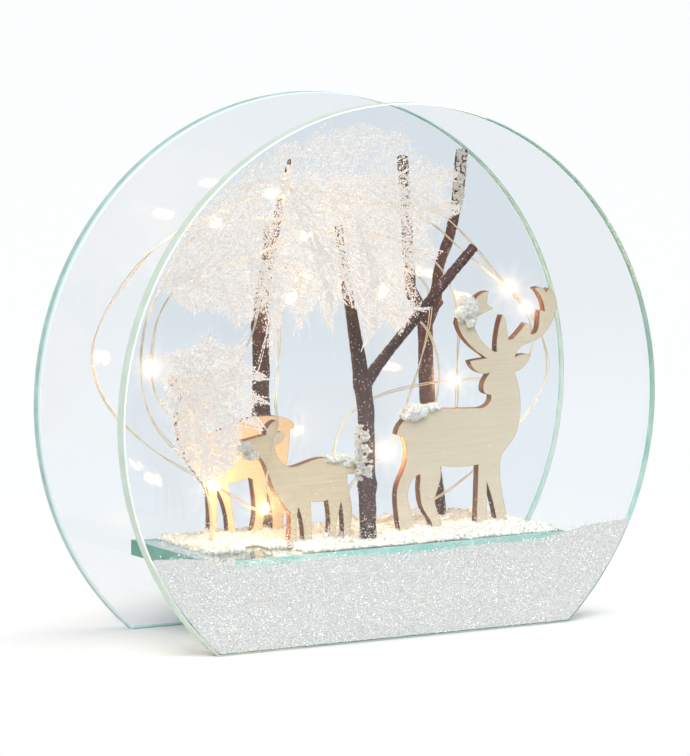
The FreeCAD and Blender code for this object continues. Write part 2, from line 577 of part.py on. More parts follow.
def battery_case():
    """Open-bottomed moulded case: cell bay with door lips, and a closed bay for the switch."""
    shell = block("case_shell", (CASE_LEFT, CASE_RIGHT), (f"-{CASE_BACK}", CASE_BACK),
                  (CASE_BOTTOM, CASE_TOP))
    bay = block("cell_bay", (BAY_LEFT, BAY_RIGHT), (f"-{INNER_BACK}", INNER_BACK),
                (TONGUE_BOTTOM + " - dims.door_play", CASE_CEILING))
    mouth = block("door_mouth", (BAY_LEFT, f"{CASE_RIGHT} + 1"), (f"-{LIP_EDGE}", LIP_EDGE),
                  (f"{CASE_BOTTOM} - 1", TONGUE_BOTTOM))
    groove = block("door_groove", (BAY_LEFT, f"{CASE_RIGHT} + 1"), (f"-{INNER_BACK}", INNER_BACK),
                   (f"{CASE_BOTTOM} + dims.lip_thick", f"{TONGUE_TOP} + dims.door_play"))
    side_bay = block("side_bay", (f"{CASE_LEFT} + dims.case_wall", f"{BAY_LEFT} - dims.case_wall"),
                     (f"-{INNER_BACK}", INNER_BACK), (FLOOR_TOP, CASE_CEILING))
    slot = block("knob_slot", (f"{SWITCH_MID} - dims.knob_width / 2 - 0.3",
                               f"{SWITCH_MID} + dims.knob_width / 2 + 0.3"),
                 (f"{KNOB_FRONT} - 0.3", f"{KNOB_FRONT} + dims.knob_length + dims.knob_travel + 0.3"),
                 (f"{CASE_BOTTOM} - 1", f"{FLOOR_TOP} + 1"))
    outlet = rod("wire_outlet", "2", "dims.case_wall + 2",
                 (f"{CASE_LEFT} - 1", WIRE_START[1], WIRE_START[2]), "X")
    return keep(cut("case_moulding", shell, bay, mouth, groove, side_bay, slot, outlet), "battery_case")


def battery_door():
    """Sliding cover: a tongue above the lips, a panel between them and grip ribs outside."""
    near = f"{BAY_LEFT} + dims.door_play"
    tongue = block("door_tongue", (near, CASE_RIGHT),
                   (f"-({INNER_BACK} - dims.door_play)", f"{INNER_BACK} - dims.door_play"),
                   (TONGUE_BOTTOM, TONGUE_TOP))
    panel = block("door_panel", (near, CASE_RIGHT),
                  (f"-({LIP_EDGE} - dims.door_play)", f"{LIP_EDGE} - dims.door_play"),
                  (CASE_BOTTOM, TONGUE_TOP))
    ribs = [block(f"grip_rib_{number}", (f"{CASE_RIGHT} - {4 + 2 * number}",
                                         f"{CASE_RIGHT} - {3.1 + 2 * number}"),
                  ("-10", "10"), (f"{CASE_BOTTOM} - dims.rib_height", f"{CASE_BOTTOM} + 0.2"))
            for number in range(5)]
    return keep(fuse("door_moulding", tongue, panel, *ribs), "battery_door")


CELL_HEIGHT = f"({CASE_CEILING} - 0.1 - dims.cell_dia / 2)"
PLATE_LEFT = f"({BAY_LEFT} + dims.contact_thick)"
PLATE_RIGHT = f"({BAY_RIGHT} - dims.contact_thick)"
WHOLE_CELL = "(dims.cell_length + dims.nub_length)"


def battery_cell(number, towards_right):
    """A round cell with its positive nub at one end."""
    across = f"({number - 2} * dims.cell_pitch)"
    low = f"({PLATE_RIGHT} - {WHOLE_CELL})" if towards_right else f"({PLATE_LEFT} + dims.nub_length)"
    can = rod(f"cell_can_{number}", "dims.cell_dia / 2", "dims.cell_length",
              (low, across, CELL_HEIGHT), "X")
    nub_at = f"({PLATE_RIGHT} - dims.nub_length - 0.5)" if towards_right else PLATE_LEFT
    nub = rod(f"cell_nub_{number}", "dims.nub_dia / 2", "dims.nub_length + 0.5",
              (nub_at, across, CELL_HEIGHT), "X")
    return keep(fuse(f"cell_body_{number}", can, nub), f"battery_cell_{number}")


def contact_plates():
    """Two single end plates and two bridges that put the cells in series."""
    low, high = f"({CELL_HEIGHT} - 4.5)", f"({CELL_HEIGHT} + 4.5)"
    left = (BAY_LEFT, PLATE_LEFT)
    right = (PLATE_RIGHT, BAY_RIGHT)
    spans = {"contact_plate_left": (left, -1, -1), "contact_bridge_left": (left, 0, 1),
             "contact_bridge_right": (right, -1, 0), "contact_plate_right": (right, 1, 1)}
    for label, (x, first, last) in spans.items():
        y = (f"({first} * dims.cell_pitch - 4.5)", f"({last} * dims.cell_pitch + 4.5)")
        keep(block(label, x, y, (low, high)), label)


def contact_springs():
    """Tapered coil springs at the cells' negative ends, squeezed between plate and cell."""
    bay = size_of("case_length") - 3 * size_of("case_wall") - size_of("switch_bay")
    gap = bay - 2 * size_of("contact_thick") - size_of("cell_length") - size_of("nub_length")
    wire, turns, wide = 0.3, 3, 4.2
    rise = gap - 2 * wire - 0.04
    coil = Part.makeHelix(rise / turns, rise, wide, -8)
    profile = Part.Wire([Part.makeCircle(wire, Vector(wide, 0, 0), Vector(0, 1, 0))])
    spring = coil.makePipeShell([profile], True, True)
    plate_left = -size_of("case_length") / 2 + 2 * size_of("case_wall") + size_of("switch_bay")
    plate_left += size_of("contact_thick")
    plate_right = size_of("case_length") / 2 - size_of("case_wall") - size_of("contact_thick")
    height = (size_of("shelf_top") - size_of("shelf_thick") - size_of("tape_thick")
              - size_of("case_wall") - 0.1 - size_of("cell_dia") / 2)
    coils = []
    for lane, foot, way in ((-1, plate_left, 1), (0, plate_right, -1), (1, plate_left, 1)):
        turned = spring.copy()
        place = Vector(foot + way * (wire + 0.02), lane * size_of("cell_pitch"), height)
        turned.Placement = Placement(place, Rotation(Vector(0, 1, 0), 90 * way))
        coils.append(turned)
    springs = doc.addObject("Part::Feature", "contact_spring_set")
    springs.Shape = Part.Compound(coils)
    return keep(springs, "contact_springs")


def switch_and_board():
    """Slide switch behind its slot, its knob, and the board that feeds the string."""
    knob_x = (f"{SWITCH_MID} - dims.knob_width / 2", f"{SWITCH_MID} + dims.knob_width / 2")
    housing = block("switch_box", (f"{SWITCH_MID} - 2.3", f"{SWITCH_MID} + 2.3"),
                    (SWITCH_FRONT, SWITCH_BACK), (FLOOR_TOP, f"{FLOOR_TOP} + 4.5"))
    room = block("switch_room", (f"{knob_x[0]} - 0.3", f"{knob_x[1]} + 0.3"),
                 (f"{KNOB_FRONT} - 0.3", f"{KNOB_FRONT} + dims.knob_length + dims.knob_travel + 0.3"),
                 (f"{FLOOR_TOP} - 1", f"{FLOOR_TOP} + 2.4"))
    keep(cut("switch_shell", housing, room), "switch_housing")
    stem = block("knob_stem", knob_x, (KNOB_FRONT, f"{KNOB_FRONT} + dims.knob_length"),
                 (f"{CASE_BOTTOM} - 1.1", f"{FLOOR_TOP} + 2"))
    keep(stem, "switch_knob")
    board_x = (f"{CASE_LEFT} + dims.case_wall + 1", f"{BAY_LEFT} - dims.case_wall - 1")
    keep(block("board_slab", board_x, ("2", "19"), (f"{CASE_CEILING} - 2", f"{CASE_CEILING} - 1")),
         "circuit_board")
    resistor = rod("resistor_body", "0.9", "5", (f"{SWITCH_MID} - 2.5", "14", f"{CASE_CEILING} - 2.9"), "X")
    keep(resistor, "series_resistor")


def wire_grommet():
    """Soft bush in the case wall that the string leaves through."""
    start_x, start_y, start_z = WIRE_START
    inside = f"({CASE_LEFT} + dims.case_wall + 0.8)"
    stem = rod("grommet_stem", "2", f"{inside} - ({start_x})", (start_x, start_y, start_z), "X")
    flange = rod("grommet_flange", "3", "0.9", (f"{CASE_LEFT} - 0.9", start_y, start_z), "X")
    return keep(fuse("grommet_bush", stem, flange), "wire_grommet")


def foam_tapes():
    """Two double-sided foam pads that hang the case from the shelf."""
    for label, low, high in (("foam_tape_left", "-33", "-5"), ("foam_tape_right", "5", "33")):
        keep(block(label, (low, high), ("-20", "20"), (CASE_TOP, SHELF_BOTTOM)), label)


battery_case()
battery_door()
for cell_number, to_right in ((1, True), (2, False), (3, True)):
    battery_cell(cell_number, to_right)
contact_plates()
contact_springs()
switch_and_board()
wire_grommet()
foam_tapes()

# ---------------------------------------------------------------- check and write

doc.recompute()
for thing in doc.Objects:
    if "Invalid" in thing.State or "Error" in thing.State:
        raise RuntimeError(f"{thing.Name} did not recompute: {thing.State}")
for part in sub_parts:
    if part.Shape.isNull() or not part.Shape.isValid():
        raise RuntimeError(f"{part.Label} has no valid shape")
os.makedirs("parts", exist_ok=True)
for part in sub_parts:
    part.Shape.exportStep(os.path.join("parts", f"{part.Label}.step"))
    box = part.Shape.BoundBox
    print(f"{part.Label:22s} solids {len(part.Shape.Solids):2d} volume {part.Shape.Volume:10.1f}"
          f"  x {box.XMin:7.2f} {box.XMax:7.2f}  y {box.YMin:7.2f} {box.YMax:7.2f}"
          f"  z {box.ZMin:7.2f} {box.ZMax:7.2f}")
print(f"{len(sub_parts)} sub-parts")
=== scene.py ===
"""Looks of the lighted winter-scene globe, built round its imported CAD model.

Tables and shapes are in millimetres. Blender's own values are in metres.
"""

import json
import math

import bmesh
import bpy
import numpy as np
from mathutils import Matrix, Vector, noise

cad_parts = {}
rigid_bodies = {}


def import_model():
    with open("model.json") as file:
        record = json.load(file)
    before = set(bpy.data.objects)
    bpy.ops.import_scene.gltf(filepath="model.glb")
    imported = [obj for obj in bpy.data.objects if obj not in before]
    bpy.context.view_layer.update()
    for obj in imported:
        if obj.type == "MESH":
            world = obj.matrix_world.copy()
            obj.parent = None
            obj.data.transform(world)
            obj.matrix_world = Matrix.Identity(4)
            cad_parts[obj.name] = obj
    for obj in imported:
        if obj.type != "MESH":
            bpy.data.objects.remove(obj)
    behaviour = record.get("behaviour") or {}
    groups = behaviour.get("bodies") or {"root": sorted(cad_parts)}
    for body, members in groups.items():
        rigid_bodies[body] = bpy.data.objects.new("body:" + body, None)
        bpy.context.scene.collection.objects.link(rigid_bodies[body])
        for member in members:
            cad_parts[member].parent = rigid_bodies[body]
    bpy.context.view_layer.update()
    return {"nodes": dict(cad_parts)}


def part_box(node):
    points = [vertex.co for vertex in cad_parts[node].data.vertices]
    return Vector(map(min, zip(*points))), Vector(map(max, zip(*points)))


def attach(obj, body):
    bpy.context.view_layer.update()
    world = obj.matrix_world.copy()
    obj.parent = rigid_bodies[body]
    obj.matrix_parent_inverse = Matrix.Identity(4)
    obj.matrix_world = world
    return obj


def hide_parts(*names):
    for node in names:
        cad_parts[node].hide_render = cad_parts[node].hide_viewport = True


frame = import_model()
NODES = frame["nodes"]
MM = 0.001
scene = bpy.context.scene
random = np.random.default_rng(20)

FRONT_FACE = -31.9
SHELF_TOP = 30.0
DISC_MIDDLE = 75.0
LAMP_GLOW = (1.0, 0.60, 0.28)
LAMP_POWER, LAMP_POWER_BESIDE_DOE = 0.014, 0.0095
BESIDE_DOE = (4, 12)


def placed(name, data):
    """A new object in the scene."""
    made = bpy.data.objects.new(name, data)
    scene.collection.objects.link(made)
    return made


# ---------------------------------------------------------------- camera and light


def make_camera():
    """Long lens a little above the table, thirty degrees to the left of the panes' normal."""
    target = Vector((-1.3, 0, 82.4)) * MM
    back, distance = Vector((-0.4946, -0.8601, 0.1246)).normalized(), 1765.5
    data = bpy.data.cameras.new("camera")
    data.lens, data.sensor_width = 255.2, 36
    data.clip_start, data.clip_end = 0.05, 100
    camera = placed("camera", data)
    camera.location = target + back * distance * MM
    camera.rotation_euler = (-back).to_track_quat("-Z", "Y").to_euler()
    scene.camera = camera


def lamp(kind, name, location, energy, colour=(1, 1, 1), aim=(0, 0, 0.08), **settings):
    data = bpy.data.lights.new(name, kind)
    data.energy, data.color = energy, colour
    for key, value in settings.items():
        setattr(data, key, value)
    light = placed(name, data)
    light.location = location
    light.rotation_euler = (Vector(aim) - Vector(location)).to_track_quat("-Z", "Y").to_euler()


def studio():
    """An even bright surround and a broad soft light from above the camera."""
    world = bpy.data.worlds.new("surround")
    scene.world = world
    world.use_nodes = True
    background = world.node_tree.nodes["Background"]
    background.inputs["Color"].default_value = (0.95, 0.98, 1.0, 1)
    background.inputs["Strength"].default_value = 0.63
    lamp("SUN", "overhead", (-0.35, -0.95, 1.35), 2.3, (1.0, 0.995, 0.985), angle=math.radians(42))
    scene.view_settings.view_transform = "Standard"


def lens_glow():
    """The soft bloom and small star that a lens draws round each lit lamp."""
    scene.use_nodes = True
    tree = scene.node_tree
    tree.nodes.clear()
    image = tree.nodes.new("CompositorNodeRLayers").outputs["Image"]
    bloom = {"Strength": 0.4, "Size": 0.35}
    star = {"Strength": 0.12, "Streaks": 9, "Iterations": 2, "Fade": 0.82,
            "Streaks Angle": math.radians(12), "Color Modulation": 0.0}
    for kind, settings in (("FOG_GLOW", bloom), ("STREAKS", star)):
        glare = tree.nodes.new("CompositorNodeGlare")
        glare.glare_type = kind
        glare.inputs["Threshold"].default_value = 4.0
        for socket, value in settings.items():
            glare.inputs[socket].default_value = value
        tree.links.new(image, glare.inputs["Image"])
        image = glare.outputs["Image"]
    tree.links.new(image, tree.nodes.new("CompositorNodeComposite").inputs["Image"])


make_camera()
studio()
lens_glow()

# ---------------------------------------------------------------- materials


class Finish:
    """A Principled material, with short ways to add the nodes that shape it."""

    def __init__(self, name, colour=None, **sockets):
        self.material = bpy.data.materials.new(name)
        self.material.use_nodes = True
        self.tree = self.material.node_tree
        self.shader = self.tree.nodes["Principled BSDF"]
        self.place = self.node("TexCoord").outputs["Object"]
        if colour is not None:
            sockets["Base_Color"] = (*colour, 1)
        for socket, value in sockets.items():
            self.put(value, self.shader.inputs[socket.replace("_", " ")])

    def put(self, value, socket):
        """Links a node's output to a socket, or sets the socket to a plain value."""
        if isinstance(value, bpy.types.NodeSocket):
            self.tree.links.new(value, socket)
        else:
            socket.default_value = value

    def node(self, kind, **values):
        """A new shader node, with values or outputs of other nodes for its inputs."""
        node = self.tree.nodes.new(f"ShaderNode{kind}")
        for name, value in values.items():
            self.put(value, node.inputs[name.replace("_", " ")])
        return node

    def grain(self, scale, detail=4.0, roughness=0.6, where=None):
        """A value of fine noise, with `scale` features to the metre."""
        return self.node("TexNoise", Scale=scale, Detail=detail, Roughness=roughness,
                         Vector=where or self.place).outputs["Fac"]

    def fibres(self, detail, roughness, *scale):
        """A value of noise that has its own scale along each axis."""
        where = self.node("Mapping", Scale=scale, Vector=self.place).outputs["Vector"]
        return self.grain(1.0, detail, roughness, where)

    def value(self, given):
        """A node's output as it is, or fine noise from its scale or its numbers."""
        if isinstance(given, bpy.types.NodeSocket):
            return given
        return self.grain(*given) if isinstance(given, tuple) else self.grain(given)

    def cells(self, scale, output="Color"):
        return self.node("TexVoronoi", Scale=scale, Vector=self.place).outputs[output]

    def ramp(self, value, *stops):
        """Colours along a value: pairs of position and colour."""
        ramp = self.node("ValToRGB", Fac=self.value(value))
        elements = ramp.color_ramp.elements
        while len(elements) < len(stops):
            elements.new(0.5)
        for element, (position, colour) in zip(elements, stops):
            element.position = position
            element.color = (*colour, 1)
        return ramp.outputs["Color"]

    def mixed(self, share, first, second, kind="MIX"):
        """Two colours mixed by a share; each of the three is a value or a node's output."""
        mix = self.node("Mix")
        mix.data_type, mix.blend_type = "RGBA", kind
        for value, number in ((share, 0), (first, 6), (second, 7)):
            self.put((*value, 1) if isinstance(value, tuple) else value, mix.inputs[number])
        return mix.outputs[2]

    def along(self, axis, low, high):
        """A value that runs from 0 to 1 between two places on an axis, in metres."""
        axes = self.node("SeparateXYZ", Vector=self.place)
        return self.node("MapRange", From_Min=low, From_Max=high,
                         Value=axes.outputs[axis]).outputs["Result"]

    def colour(self, socket):
        self.put(socket, self.shader.inputs["Base Color"])
        return self

    def mottled(self, value, *stops):
        """Colours the surface along a value."""
        return self.colour(self.ramp(value, *stops))

    def glow(self, colour, strength):
        self.put((*colour, 1), self.shader.inputs["Emission Color"])
        self.put(strength, self.shader.inputs["Emission Strength"])

    def let_through(self, share, tint):
        """Lets part of the light that falls on one side of a thin flake out of the other."""
        through = self.node("BsdfTranslucent", Color=(*tint, 1))
        mix = self.node("MixShader", Fac=share)
        self.put(self.shader.outputs["BSDF"], mix.inputs[1])
        self.put(through.outputs["BSDF"], mix.inputs[2])
        self.put(mix.outputs["Shader"], self.tree.nodes["Material Output"].inputs["Surface"])

    def roughness(self, value, low, high):
        spread = self.node("MapRange", To_Min=low, To_Max=high, Value=self.value(value))
        self.put(spread.outputs["Result"], self.shader.inputs["Roughness"])
        return self

    def bump(self, value, depth_mm, strength=1.0):
        bump = self.node("Bump", Strength=strength, Distance=depth_mm * MM,
                         Height=self.value(value))
        self.put(bump.outputs["Normal"], self.shader.inputs["Normal"])
        return self


def glass(name, tint, absorbed, density):
    """Solid glass with the green that long paths through it take on."""
    made = Finish(name, tint, Roughness=0.0, IOR=1.5, Transmission_Weight=1.0)
    volume = made.node("VolumeAbsorption", Color=(*absorbed, 1), Density=density)
    made.put(volume.outputs["Volume"], made.tree.nodes["Material Output"].inputs["Volume"])
    return made


def ground_edge(name, deep, pale, clear_before=None):
    """A ground edge, green from the glass behind it, and paler with a painted highlight in front of
    a depth.
    """
    made = Finish(name, Roughness=0.35, IOR=1.5)
    streaks = made.grain(130, 3)
    green = made.ramp(streaks, (0.3, deep), (0.7, pale))
    if clear_before:
        # Painted highlight: the edge turns pale grey-green in front of the depth.
        depth = made.along("Y", clear_before - 0.0003, clear_before + 0.0004)
        green = made.mixed(depth, (0.70, 0.80, 0.81), green)
    made.colour(green)
    made.bump(1600, 0.03, 0.5).roughness(streaks, 0.25, 0.5)
    return made


# Name, deep green and pale green of each ground edge, and the depth before which it takes a paler
# painted highlight.
GROUND_EDGES = {
    # The front pane's edge is paler than the rear's: the glass's green with painted highlight mixed
    # in.
    "front_edge": ("front_pane_edge", (0.54, 0.65, 0.56), (0.66, 0.75, 0.66)),
    "rear_edge": ("rear_pane_edge", (0.26, 0.46, 0.41), (0.43, 0.63, 0.58), 0.0288),
    "front_far_edge": ("front_pane_far_edge", (0.24, 0.44, 0.45), (0.41, 0.61, 0.63)),
    "rear_far_edge": ("rear_pane_far_edge", (0.40, 0.58, 0.60), (0.58, 0.73, 0.76)),
    "pane_arris": ("pane_arris", (0.20, 0.42, 0.40), (0.36, 0.60, 0.57)),
    # A near-white painted highlight along the front pane's near arris.
    "painted_highlight_arris": ("pane_arris_painted_highlight", (0.78, 0.84, 0.77), (0.97, 0.98, 0.92)),
    "shelf_front": ("shelf_front_edge", (0.27, 0.55, 0.49), (0.43, 0.69, 0.61)),
    "shelf_end": ("shelf_end_edge", (0.075, 0.265, 0.195), (0.15, 0.42, 0.32)),
}


def glass_finishes():
    pane = glass("pane_glass", (0.908, 0.921, 0.952), (0.36, 0.85, 0.80), 8)
    shelf = glass("shelf_glass", (0.93, 0.985, 0.98), (0.20, 0.86, 0.84), 18)
    glue = Finish("clear_glue", (0.95, 0.97, 0.95), Roughness=0.05, IOR=1.5,
                  Transmission_Weight=1.0)
    glue.bump(600, 0.02, 0.3)
    return locals()


def wood_finishes():
    ply = Finish("plywood_face", Roughness=0.62)
    rays = ply.fibres(5, 0.65, 55, 200, 1500)
    broad = ply.fibres(3, 0.5, 18, 100, 130)
    pale = ply.ramp(rays, (0.28, (0.53, 0.445, 0.315)), (0.5, (0.61, 0.525, 0.39)),
                    (0.74, (0.67, 0.58, 0.445)))
    bands = ply.ramp(broad, (0.3, (0.57, 0.475, 0.34)), (0.7, (0.655, 0.57, 0.44)))
    ply.colour(ply.mixed(0.35, pale, bands)).bump(rays, 0.05, 0.35).roughness(rays, 0.5, 0.72)
    # The fawn's copy of the plywood is painted darker and more khaki: painted shade.
    shade_ply = Finish("plywood_face_painted_shade", Roughness=0.62)
    rays = shade_ply.fibres(5, 0.65, 60, 200, 1300)
    shade_ply.mottled(rays, (0.3, (0.56, 0.45, 0.295)), (0.7, (0.67, 0.56, 0.385)))
    shade_ply.bump(rays, 0.05, 0.35)
    # The doe's copy of the plywood is painted warmer and more orange: painted lamp light, on top of
    # the light the lamps give.
    warm_ply = Finish("plywood_face_painted_lamp_light", Roughness=0.62)
    warm_ply.mottled(warm_ply.fibres(5, 0.65, 55, 200, 1500),
                     (0.3, (0.68, 0.49, 0.30)), (0.7, (0.78, 0.59, 0.39)))
    scorch = Finish("plywood_scorched_line", Roughness=0.7)
    scorch.mottled(700, (0.35, (0.40, 0.24, 0.11)), (0.65, (0.60, 0.44, 0.26)))
    burnt = Finish("plywood_burnt_edge", Roughness=0.75)
    burnt.mottled(burnt.fibres(3, 0.5, 120, 900, 120),
                  (0.35, (0.060, 0.018, 0.008)), (0.55, (0.17, 0.058, 0.020)),
                  (0.72, (0.34, 0.14, 0.05)))
    burnt.bump(1500, 0.08, 0.6)

    bark = Finish("twig_bark", Roughness=0.7)
    streaks = bark.fibres(6, 0.7, 900, 900, 110)
    dark = bark.ramp(streaks, (0.3, (0.020, 0.005, 0.004)), (0.52, (0.055, 0.013, 0.009)),
                     (0.75, (0.125, 0.038, 0.024)))
    spots = bark.ramp((1100, 2, 0.5), (0.66, (0, 0, 0)), (0.72, (1, 1, 1)))
    bark.colour(bark.mixed(spots, dark, (0.42, 0.30, 0.24)))
    bark.bump(streaks, 0.25, 0.8).roughness(streaks, 0.5, 0.85)
    return locals()


def white_finishes():
    snow = Finish("snow_crust", Roughness=0.55, Subsurface_Weight=0.35, Subsurface_Scale=0.002,
                  Subsurface_Radius=(1.0, 0.9, 0.8))
    crumbs = snow.grain(1700, 5, 0.7)
    snow.mottled(crumbs, (0.3, (0.62, 0.605, 0.54)), (0.6, (0.90, 0.89, 0.835)))
    snow.bump(crumbs, 0.35, 0.9).roughness(crumbs, 0.35, 0.8)
    clump = Finish("snow_clump", Roughness=0.5, Subsurface_Weight=0.5, Subsurface_Scale=0.003)
    clump.mottled((1500, 4, 0.7), (0.3, (0.90, 0.885, 0.84)), (0.6, (0.98, 0.97, 0.94)))
    # A faint glow brightens the clumps: painted light.
    clump.bump((2200, 4, 0.7), 0.3, 0.8).glow((1.0, 0.97, 0.93), 0.10)
    snow_flake = Finish("snow_flake", Roughness=0.45)
    snow_flake.mottled((1500, 2), (0.35, (0.85, 0.84, 0.79)), (0.6, (0.98, 0.97, 0.94)))
    snow_flake.let_through(0.45, (0.96, 0.95, 0.92))

    frost = Finish("frost_fleck", Roughness=0.5)
    frost.mottled((2300, 2), (0.34, (0.70, 0.68, 0.67)), (0.48, (0.90, 0.86, 0.83)),
                  (0.62, (0.95, 0.945, 0.93)))
    frost.let_through(0.42, (0.95, 0.95, 0.94))

    glitter = Finish("glitter_coat", Roughness=0.35)
    hue = glitter.mixed(0.12, (0.75, 0.76, 0.755), glitter.cells(2600))
    shade = glitter.ramp((1900, 3, 0.7), (0.32, (0.48, 0.50, 0.51)), (0.55, (0.84, 0.85, 0.85)))
    glitter.colour(glitter.mixed(0.6, hue, shade, "MULTIPLY"))
    glitter.bump(glitter.cells(2600, "Distance"), 0.25, 1.0)
    glitter_back = Finish("glitter_coat_back", Roughness=0.6)
    glitter_back.mottled((1500, 3), (0.3, (0.80, 0.81, 0.81)), (0.7, (0.92, 0.93, 0.93)))
    # A faint glow: painted light standing in for the light that comes through the coat.
    glitter_back.glow((0.95, 0.97, 0.97), 0.15)
    flake = Finish("glitter_flake", Roughness=0.22, Metallic=0.35)
    flake.colour(flake.mixed(0.11, (0.84, 0.85, 0.85), flake.cells(1900)))
    return locals()


def lamp_finishes():
    copper = Finish("lacquered_copper", Metallic=1.0, Roughness=0.3)
    copper.mottled((260, 3), (0.35, (0.78, 0.66, 0.46)), (0.65, (0.95, 0.86, 0.68)))
    resin = Finish("lit_resin", (1.0, 0.93, 0.78), Roughness=0.08, IOR=1.5,
                   Transmission_Weight=0.6)
    resin.bump(700, 0.05, 0.4).glow((1.0, 0.80, 0.50), 1.8)
    chip = Finish("lit_chip", Roughness=0.4)
    chip.mottled(2500, (0.3, (0.95, 0.75, 0.25)), (0.7, (1.0, 0.88, 0.4)))
    chip.glow((1.0, 0.86, 0.60), 150.0)
    return locals()


def case_finishes():
    case = Finish("case_plastic", Roughness=0.45, Subsurface_Weight=0.1, Subsurface_Scale=0.001)
    case.mottled((60, 2), (0.3, (0.80, 0.80, 0.78)), (0.7, (0.84, 0.84, 0.82)))
    case.bump((3000, 2), 0.02, 0.5).roughness(300, 0.38, 0.55)
    nickel = Finish("nickel_plate", Metallic=1.0)
    nickel.mottled(400, (0.3, (0.66, 0.65, 0.62)), (0.7, (0.78, 0.77, 0.74)))
    nickel.roughness(nickel.fibres(3, 0.5, 300, 3000, 300), 0.2, 0.4)
    black = Finish("black_plastic", Roughness=0.5)
    black.mottled(500, (0.3, (0.03, 0.03, 0.032)), (0.7, (0.05, 0.05, 0.052)))
    black.bump(4000, 0.02, 0.5)
    board = Finish("board_green", Roughness=0.3)
    board.mottled(board.cells(420, "Distance"), (0.15, (0.55, 0.50, 0.36)),
                  (0.2, (0.03, 0.16, 0.07)), (0.7, (0.05, 0.24, 0.11)))
    board.bump(board.cells(420, "Distance"), 0.05, 0.3)
    ceramic = Finish("resistor_body", Roughness=0.35)
    ceramic.mottled(ceramic.fibres(1, 0.5, 900, 1, 1),
                    (0.45, (0.70, 0.58, 0.40)), (0.5, (0.30, 0.16, 0.08)),
                    (0.56, (0.72, 0.60, 0.42)))
    rubber = Finish("grommet_rubber", Roughness=0.6)
    rubber.mottled(300, (0.3, (0.72, 0.72, 0.70)), (0.7, (0.80, 0.80, 0.78)))
    rubber.bump(2500, 0.03, 0.5)
    foam = Finish("foam_tape", Roughness=0.85)
    foam.mottled(foam.cells(1500, "Distance"), (0.1, (0.60, 0.60, 0.58)), (0.5, (0.86, 0.86, 0.84)))
    foam.bump(foam.cells(1500, "Distance"), 0.2, 0.8)
    return locals()


def make_materials():
    made = {key: ground_edge(*row) for key, row in GROUND_EDGES.items()}
    for finishes in (glass_finishes, wood_finishes, white_finishes, lamp_finishes, case_finishes):
        made.update(finishes())
    return {key: value.material for key, value in made.items() if isinstance(value, Finish)}


M = make_materials()


def cell_material(name, nub_end, can_ends):
    """A printed sleeve with bare metal at both ends of the can, told apart along X."""
    made = Finish(name, Roughness=0.3)
    steel, sleeve, band = (0.72, 0.72, 0.70), (0.035, 0.075, 0.17), (0.62, 0.42, 0.10)
    stops = [(0.0, steel), (0.02, sleeve), (0.72, band), (0.975, steel)]
    if nub_end < 0:
        stops = [(0.0, steel), (0.025, band), (0.28, sleeve), (0.98, steel)]
    ramp = made.ramp(made.along("X", *(end * MM for end in can_ends)), *stops)
    ramp.node.color_ramp.interpolation = "CONSTANT"
    wear = made.ramp(250, (0.3, (0.2, 0.2, 0.2)), (0.7, (0.9, 0.9, 0.9)))
    made.colour(made.mixed(0.12, ramp, wear)).roughness(500, 0.2, 0.36)
    return made.material


def paint(material, *names):
    for name in names:
        NODES[name].data.materials.clear()
        NODES[name].data.materials.append(material)


def paint_cad_nodes():
    paint(M["glue"], "figure_glue", "twig_glue")
    paint(M["case"], "battery_case", "battery_door")
    paint(M["nickel"], "contact_plate_left", "contact_bridge_left", "contact_bridge_right",
          "contact_plate_right", "contact_springs")
    paint(M["black"], "switch_housing", "switch_knob")
    paint(M["board"], "circuit_board")
    paint(M["ceramic"], "series_resistor")
    paint(M["rubber"], "wire_grommet")
    paint(M["foam"], "foam_tape_left", "foam_tape_right")
    paint(M["glitter"], "front_glitter_band")
    for number, nub_end in ((1, 1), (2, -1), (3, 1)):
        low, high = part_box(f"battery_cell_{number}")
        ends = (low.x / MM, high.x / MM - 1) if nub_end > 0 else (low.x / MM + 1, high.x / MM)
        paint(cell_material(f"cell_sleeve_{number}", nub_end, ends), f"battery_cell_{number}")


def paint_glass(name, face, edges, face_axis, kind):
    """Polished faces across one axis, and kinds of ground edge told apart by their normal."""
    mesh = NODES[name].data
    mesh.materials.clear()
    for material in (face, *edges):
        mesh.materials.append(material)
    for polygon in mesh.polygons:
        if abs(polygon.normal[face_axis]) > 0.99:
            polygon.material_index = 0
        else:
            polygon.material_index = 1 + kind(polygon.normal)
    NODES[name].visible_shadow = False


paint_cad_nodes()
# From behind, the coat glows faintly: painted light in place of the light that comes through it.
GLITTER_COAT = NODES["front_glitter_band"].data
GLITTER_COAT.materials.append(M["glitter_back"])
for coat_face in GLITTER_COAT.polygons:
    coat_face.material_index = int(coat_face.normal.y > 0.9)

NEAR, FAR, DULL_ARRIS, NEAR_ARRIS = range(4)
# What a normal's y is at most on the rim itself, its x from where the rim counts as its far
# half, and its z low on the rim and at the foot.
RIM_Y, FAR_X, LOW_Z, FOOT_Z = 0.2, 0.25, -0.31, -0.6


def edge_kind(side, normal):
    """Which of the four edge materials a face takes, from the pane it is on and its normal."""
    if abs(normal.y) <= RIM_Y:
        return FAR if normal.x > FAR_X else NEAR
    if normal.y < 0 and side == "front" and normal.z <= LOW_Z:
        return NEAR
    if normal.y > 0 or normal.x >= FAR_X or normal.z <= FOOT_Z:
        return DULL_ARRIS
    # The near arris, except low on the rim, takes the painted highlight.
    return NEAR if normal.z <= LOW_Z else NEAR_ARRIS


